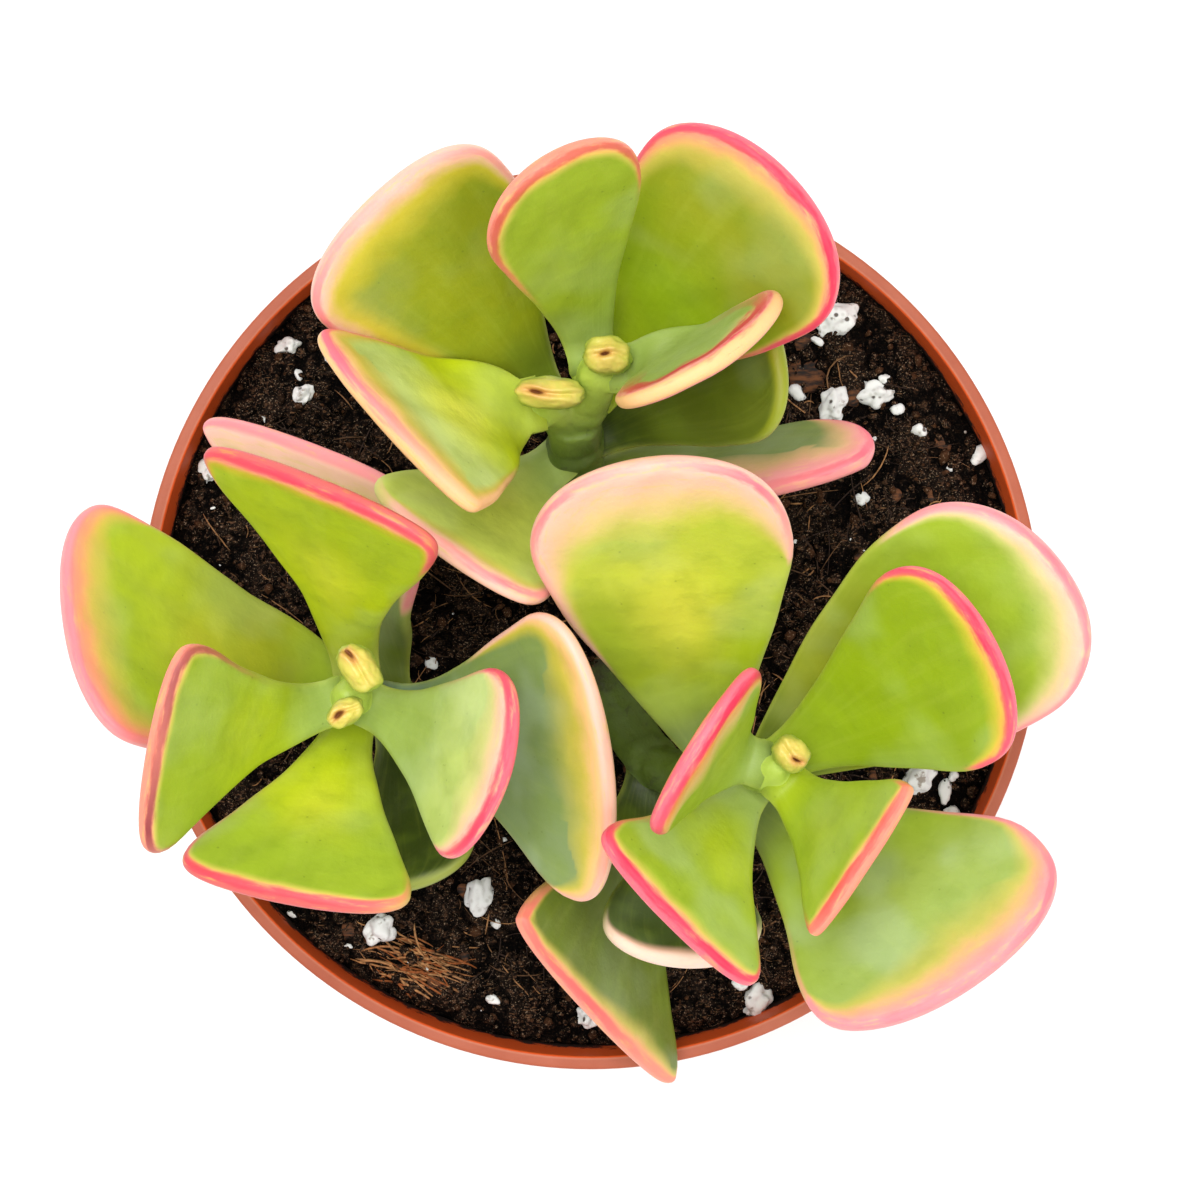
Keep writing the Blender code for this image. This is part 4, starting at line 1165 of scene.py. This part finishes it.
def blade_surface(item, seed):
    """A lofted leaf: its points, faces, and each point's marks for its skin."""
    turn = math.radians(item.heading)
    centre, radius = stem_at(item.stem, item.z)
    out = radius + item.gap
    foot = centre + np.array((out * math.cos(turn), out * math.sin(turn), 0.0))
    fine = np.linspace(0, 1, MIDDLE_STEPS + 1)
    lift = np.radians(item.rise - (item.rise - FOOT_RISE) * np.exp(-fine / FOOT_BEND))
    way = np.stack([np.cos(lift) * math.cos(turn), np.cos(lift) * math.sin(turn), np.sin(lift)], -1)
    steps = (way[1:] + way[:-1]) / 2 * item.length / MIDDLE_STEPS
    middle = np.vstack([np.zeros(3), np.cumsum(steps, 0)]) + foot
    level = np.array((-math.sin(turn), math.cos(turn), 0.0))
    ease = np.clip(fine / ROLL_EASE, 0, 1)
    tilt = (math.radians(item.roll) * ease * ease * (3 - 2 * ease))[:, None]
    across = level * np.cos(tilt) + np.cross(way, level) * np.sin(tilt)

    x = blade_rows(item.peak, *BLADE_ROWS)
    at, along_way, side_way, up_way = (
        np.stack([np.interp(x, fine, vectors[:, k]) for k in range(3)], -1)[:, None]
        for vectors in (middle, way, across, np.cross(way, across))
    )
    v = np.sin(math.pi / 2 * np.linspace(-1, 1, BLADE_ACROSS))
    left, right = (side_reach(x, side, item, seed)[:, None] for side in (1, -1))
    side = v * np.where(v > 0, left, right)
    further = item.lean * side * (x * x)[:, None]
    ring, around = edge_ring(item, seed)
    flat = np.stack([x[:, None] * item.length + further, side], -1)[:, :, None]
    runs = np.diff(ring, axis=0)
    share = np.clip(((flat - ring[:-1]) * runs).sum(-1) / (runs * runs).sum(-1), 0, 1)
    gaps = np.hypot(*np.moveaxis(flat - ring[:-1] - share[..., None] * runs, -1, 0))
    inset = gaps.min(-1)
    inset[:, [0, -1]] = 0
    inset[-1] = 0
    spans = around[:-1] + share * np.diff(around)
    nearest = np.take_along_axis(spans, gaps.argmin(-1)[..., None], -1)[..., 0]
    body = BLADE_T + (FOOT_T - BLADE_T) * np.exp(-x / THICK_FADE)
    half = body[:, None] / 2 * plump(inset) * (1 - FLANK_THIN * v * v)
    wide = item.width / 2
    cup = (item.cup * wide * np.clip(x / CUP_EASE, 0, 1))[:, None] * (side / wide) ** 2
    calm = np.clip(inset / 3, 0, 1) * np.clip(x * 3, 0, 1)[:, None]
    along_mm = x[:, None] * item.length
    long_dents = np.sin(0.42 * along_mm + 0.3 * side + seed)
    dents = 0.16 * long_dents * np.sin(0.37 * side - 0.1 * along_mm + 2 * seed)
    dents = dents + 0.07 * np.sin(0.9 * side + 0.55 * along_mm + 3 * seed)
    mid = at + along_way * further[..., None] + side_way * side[..., None] + up_way * cup[..., None]
    top = mid + up_way * (half + calm * dents)[..., None]
    under = mid - up_way * (half - 0.6 * calm * dents)[..., None]
    rings = ringed(top, under)
    rings[0] = rings[1] - way[0] * (item.gap + FOOT_SUNK)

    reach = skin_reach(inset)
    along, sides = np.broadcast_arrays(x[:, None], v)
    marks = {
        label: np.append(ringed(above, below).ravel(), at_tip)
        for label, above, below, at_tip in (
            ("reach", reach, -reach, 0.0),
            ("along", along, along, 1.0),
            ("side", sides, sides, 0.0),
            ("around", nearest, nearest, 0.0),
        )
    }
    rows, count = rings.shape[:2]
    points = np.vstack([rings.reshape(-1, 3), middle[-1]])
    faces = ring_faces(rows, count)
    tip, last = rows * count, (rows - 1) * count
    faces.extend((last + (j + 1) % count, last + j, tip) for j in range(count))
    faces.append(tuple(range(count)))
    return points, faces, marks


def combined(*numbers):
    """Three numbers as a place, to look up noise at."""
    return shader_node("CombineXYZ", dict(enumerate(numbers))).outputs[0]


leaf_skin, given, result = new_group(
    "leaf skin",
    {**{label: (1.0, 1.0, 1.0, 1.0) for label in TINTS}, **TUNES, "Seed": 0.0},
    {"Color": "Color", "Roughness": "Float", "Height": "Float"},
)
reach, along, side, band, flush, edge_run = (
    mark(leaf_skin, label) for label in ("reach", "along", "side", "band", "flush", "round")
)
seed_way = combined(given["Seed"], given["Seed"])
here_place = object_place(leaf_skin)
spot = shader_node("VectorMath", {0: here_place, 1: seed_way}, operation="ADD").outputs[0]
drift = cloud(spot, 70.0)
patch = cloud(spot, 240.0, 3.0)
fleck = cloud(spot, 1500.0, 3.0, 0.6)
fan = combined(times(side, 9.0), times(along, 2.0), given["Seed"])
fibres_in = cloud(fan, 1.0, 4.0, 0.55)
edge_way = combined(times(edge_run, 0.3), times(reach, 1.1), given["Seed"])
brushed = cloud(edge_way, 1.0, 4.0, 0.6)

grown = plus(along, times(minus(drift, 0.5), 0.5))
flesh = coats(given["Foot"], (given["Deep"], grown, 0.04, 0.3), (given["Face"], grown, 0.38, 0.72))
core = times(ramp(along, 0.2, 0.5), ramp(along, 0.5, 0.8, 1.0, 0.0))
core = times(core, ramp(maths("ABSOLUTE", side), 0.0, 0.75, 1.0, 0.0))
flesh = mix(times(core, given["Glow"]), flesh, SUNLIT_CORE)
flesh = coats(
    flesh, (PATCH_GREEN, patch, 0.4, 0.7, 0.0, 0.25), (FIBRE_LIME, fibres_in, 0.45, 0.7, 0.0, 0.06)
)
dots = times(ramp(cells(spot, 640.0), 0.06, 0.13, 0.4, 0.0), ramp(patch, 0.5, 0.62))
flesh = mix(dots, flesh, DOT_GREEN)
film = times(ramp(drift, 0.48, 0.66), given["Bloom"])
flesh = mix(film, flesh, BLOOM_GREY)

tinted = ramp(band, 0.1, 1.0)
wander = times(minus(patch, 0.5), times(band, 0.35))
onto_face = plus(minus(reach, RIDGE), wander)
share = over(onto_face, maths("MAXIMUM", band, 0.05))
blush_mask = times(ramp(share, 0.15, 1.25, 0.9, 0.0), tinted)
margin_mask = times(ramp(share, 0.0, given["Fade"], 1.0, 0.0), tinted)
face_colour = mix(blush_mask, flesh, given["Blush"])
face_colour = mix(margin_mask, face_colour, given["Margin"])
below = times(reach, -1.0)
under_share = over(minus(below, RIDGE), plus(band, 1.0))
under_mask = times(ramp(under_share, 0.1, 0.9, 1.0, 0.0), tinted)
under_colour = coats(given["Under"], (given["Deep"], patch, 0.35, 0.65, 0.0, 0.4))
under_colour = mix(under_mask, under_colour, given["Margin"])
skin_colour = mix(ramp(below, 0.8, 1.6), face_colour, under_colour)
off_edge = maths("ABSOLUTE", reach)
rim_mask = times(ramp(off_edge, 1.0, 1.7, 1.0, 0.0), tinted)
skin_colour = mix(rim_mask, skin_colour, given["Rim"])
plain_rim = times(ramp(off_edge, 0.3, 1.6, 0.5, 0.0), minus(1.0, tinted))
skin_colour = mix(plain_rim, skin_colour, PLAIN_RIM)
ridge_off = over(maths("ABSOLUTE", minus(reach, given["Ridge"])), given["Broad"])
ridge_off = plus(ridge_off, times(minus(brushed, 0.5), 1.8))
ridge_mask = times(ramp(ridge_off, 0.15, 0.95, 1.0, 0.0), flush)
pale_streak = times(ramp(brushed, 0.52, 0.7, 0.0, 0.4), tinted)
pale_streak = times(pale_streak, ramp(share, 0.0, 0.9, 1.0, 0.0))
skin_colour = mix(pale_streak, skin_colour, given["Blush"])
skin_colour = mix(ridge_mask, skin_colour, given["Line"])
shine = plus(ramp(patch, 0.3, 0.7, 0.42, 0.54), times(film, 0.25))
relief = plus(times(patch, 0.7), times(fleck, 0.12))
relief = plus(relief, times(fibres_in, 0.12))
for label, value in (("Color", skin_colour), ("Roughness", shine), ("Height", relief)):
    leaf_skin.links.new(value, result[label])

for number, (name, (item, tone)) in enumerate(LEAVES.items()):
    points, faces, marks = blade_surface(item, 1.7 * number)
    leaf_look, tree, shader = new_material(
        "leaf_" + name,
        Subsurface_Weight=0.12,
        Subsurface_Radius=(0.0022, 0.0030, 0.0006),
        Coat_Weight=0.04,
        Coat_Roughness=0.35,
        Specular_IOR_Level=0.35,
    )
    look = use_group(tree, leaf_skin, Seed=0.37 * number, **tone.tints)
    finish_surface(shader, look["Color"], look["Roughness"], look["Height"], 0.3)
    piece = add_piece("blade_" + name, points, faces, leaf_look, "leaf_green", "leaf_" + name)
    around = marks.pop("around")
    marks["round"] = around * item.length
    marks["band"] = np.interp(around, EDGE_PLACES, tone.bands)
    marks["flush"] = np.interp(around, EDGE_PLACES, tone.reds)
    for label, values in marks.items():
        paint(piece, label, values)

# Buds
# The newest pair of leaflets on each tip, still pressed together over the growing point: plump,
# pale yellow lips with a brown slit where they part and dry tan skin beside it.

Bud = namedtuple("Bud", "x y z long wide tall turn slit_at slit_long slit_wide tan")
BUDS = {
    "left": (
        Bud(-28.2, -5.8, 138.6, 6.8, 4.6, 5.4, -50, -0.62, 0.2, 0.12, 1.0),
        Bud(-30.1, -11.3, 136.5, 5.0, 3.4, 4.4, 32, -0.3, 0.3, 0.26, 1.0),
    ),
    "right": (Bud(24.6, -16.2, 139.8, 4.9, 4.2, 4.6, -42, 0.45, 0.26, 0.08, 1.0),),
    "top_a": (Bud(2.2, 32.4, 139.6, 6.2, 4.9, 5.2, -6, -0.1, 0.16, 0.1, 0.7),),
    "top_b": (Bud(-4.9, 28.1, 135.0, 9.2, 4.2, 5.2, -3, -0.35, 0.16, 0.12, 1.0),),
}
BUD_TURNS = 60
BUD_ROWS = 40
BUD_GREEN = linear(156, 176, 66)
BUD_CREAM = linear(212, 188, 92)
BUD_MOTTLE = linear(186, 186, 70)
DRY_TAN = linear(206, 156, 88)
SLIT_BROWN = linear(132, 80, 36)


def bud_body(item, seed):
    """One closed pair of leaflets: its points, faces, and each point's marks for its skin."""
    turn_at = np.linspace(0, math.tau, BUD_TURNS, endpoint=False)
    fall = np.linspace(0, math.pi, BUD_ROWS + 2)[1:-1]
    ball = [
        (math.sin(f) * math.cos(t), math.sin(f) * math.sin(t), math.cos(f))
        for f in fall
        for t in turn_at
    ]
    ball = np.array([*ball, (0.0, 0.0, 1.0), (0.0, 0.0, -1.0)])
    u, v, w = ball.T
    top = np.clip(w * 2, 0, 1)
    bent = v - 0.12 * np.sin(3 * u + seed)
    groove = np.exp(-((bent / 0.1) ** 2)) * top * np.exp(-((u / 0.8) ** 4))
    off_slit = (bent / item.slit_wide) ** 2 + ((u - item.slit_at) / item.slit_long) ** 2
    slit = np.exp(-off_slit) * top
    lips = np.exp(-(((abs(bent) - 0.28) / 0.16) ** 2)) * top
    lobes = [noise.noise(Vector(p) * 1.9 + Vector((seed, 0, seed))) for p in ball]
    folds = [noise.noise(Vector(p) * 5.0 + Vector((0, seed, 0))) for p in ball]
    size = 1 + 0.13 * np.array(lobes) + 0.04 * np.array(folds)
    blunt = (abs(u) ** 3 + abs(v) ** 3 + abs(w) ** 3) ** (-1 / 3)
    shaped = ball * (size * (0.65 + 0.35 * blunt) * 0.97)[:, None]
    shaped[:, 2] += 0.08 * lips - 0.12 * groove - 0.55 * slit
    shaped = turned(shaped * (item.long / 2, item.wide / 2, item.tall / 2), item.turn)
    dry = np.exp(-((bent / 0.42) ** 2) - ((u - item.slit_at) / 0.55) ** 2) * top * item.tan
    marks = np.clip(slit + 0.25 * groove, 0, 1), dry, w
    return shaped + (item.x, item.y, item.z), closed_faces(BUD_ROWS, BUD_TURNS), marks


bud_skin, tree, shader = new_material(
    "bud_skin", Subsurface_Weight=0.15, Subsurface_Radius=(0.0016, 0.0014, 0.0004), Coat_Weight=0.06
)
place = object_place(tree)
slit, dry, height = (mark(tree, label) for label in ("slit", "dry", "height"))
mottle = cloud(place, 700.0, 3.0)
young = coats(
    BUD_GREEN, (BUD_CREAM, height, 0.0, 0.95), (BUD_MOTTLE, mottle, 0.42, 0.7, 0.0, 0.55)
)
young = mix(times(ramp(dry, 0.15, 0.8), ramp(mottle, 0.3, 0.6, 0.6, 1.0)), young, DRY_TAN)
young = coats(young, (SLIT_BROWN, slit, 0.25, 0.85))
finish_surface(shader, young, ramp(mottle, 0.3, 0.7, 0.4, 0.58), mottle, 0.2)

for number, (name, bodies) in enumerate(BUDS.items()):
    points = []
    faces = []
    marks = []
    for item in bodies:
        body_points, body_faces, body_marks = bud_body(item, 2.3 * number + 0.4 * item.long)
        gather(points, faces, body_points, body_faces)
        marks.append(body_marks)
    bud = add_piece("leaflets_" + name, points, faces, bud_skin, "bud_yellow", "bud_" + name)
    for label, values in zip(("slit", "dry", "height"), zip(*marks)):
        paint(bud, label, np.concatenate(values))

# Floor
# The plain pale paper that the pot stands on, matt and almost white. One flat sheet, wide enough
# to fill every view.

FLOOR_HALF_M = 4.0

floor_paint, tree, shader = new_material("floor_paint", Specular_IOR_Level=0.1)
dapple = cloud(object_place(tree), 6.0)
pale = mix(dapple, linear(240, 240, 239), linear(245, 245, 244))
finish_surface(shader, pale, ramp(dapple, 0.0, 1.0, 0.8, 0.9), dapple, 0.01)
floor_mesh = bpy.data.meshes.new("floor")
corners = [(x * FLOOR_HALF_M, y * FLOOR_HALF_M, 0) for x, y in ((-1, -1), (1, -1), (1, 1), (-1, 1))]
floor_mesh.from_pydata(corners, [], [(0, 1, 2, 3)])
floor_mesh.materials.append(floor_paint)
floor = bpy.data.objects.new("floor", floor_mesh)
bpy.context.scene.collection.objects.link(floor)
floor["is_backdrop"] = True

# Light
# A soft bright room: one broad lamp high on the upper left, a weaker one opposite, and pale
# walls all round, which fill the shade between the leaves.

LAMP_AIM_M = (0, 0, 0.12)
ROOM_STRENGTH = 0.85


def soft_lamp(name, place_m, size_m, watts):
    """A square soft lamp that faces the plant."""
    lamp = bpy.data.lights.new(name, "AREA")
    lamp.size = size_m
    lamp.energy = watts
    holder = bpy.data.objects.new(name, lamp)
    holder.location = place_m
    aim = Vector(LAMP_AIM_M) - Vector(place_m)
    holder.rotation_euler = aim.to_track_quat("-Z", "Y").to_euler()
    bpy.context.scene.collection.objects.link(holder)


soft_lamp("key_lamp", (-0.2, 0.28, 1.35), 0.8, 14.5)
soft_lamp("fill_lamp", (0.45, -0.4, 1.1), 0.9, 6.0)
room = bpy.data.worlds.new("pale_room")
room.use_nodes = True
room.node_tree.nodes["Background"].inputs["Color"].default_value = (1.0, 1.0, 1.0, 1.0)
room.node_tree.nodes["Background"].inputs["Strength"].default_value = ROOM_STRENGTH
bpy.context.scene.world = room
bpy.context.scene.view_settings.view_transform = "Standard"

# Camera
# Straight above the pot, a little right of its middle and above it, as the photograph was taken.
# The frame's width is measured at the height of the rim.

CAMERA_AT_M = (0.00128, 0.00253, 0.588)
FRAME_WIDTH_M = 0.15972
SENSOR = 36.0

camera_data = bpy.data.cameras.new("camera")
camera_data.sensor_width = SENSOR
camera_data.lens = SENSOR * (CAMERA_AT_M[2] - POT_H * MM) / FRAME_WIDTH_M
camera_data.clip_start = 0.01
camera_data.clip_end = 20.0
camera = bpy.data.objects.new("camera", camera_data)
camera.location = CAMERA_AT_M
bpy.context.scene.collection.objects.link(camera)
bpy.context.scene.camera = camera

visual_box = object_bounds()
sizes = {"cad": [list(corner) for corner in cad_box], "visual": [list(corner) for corner in visual_box]}
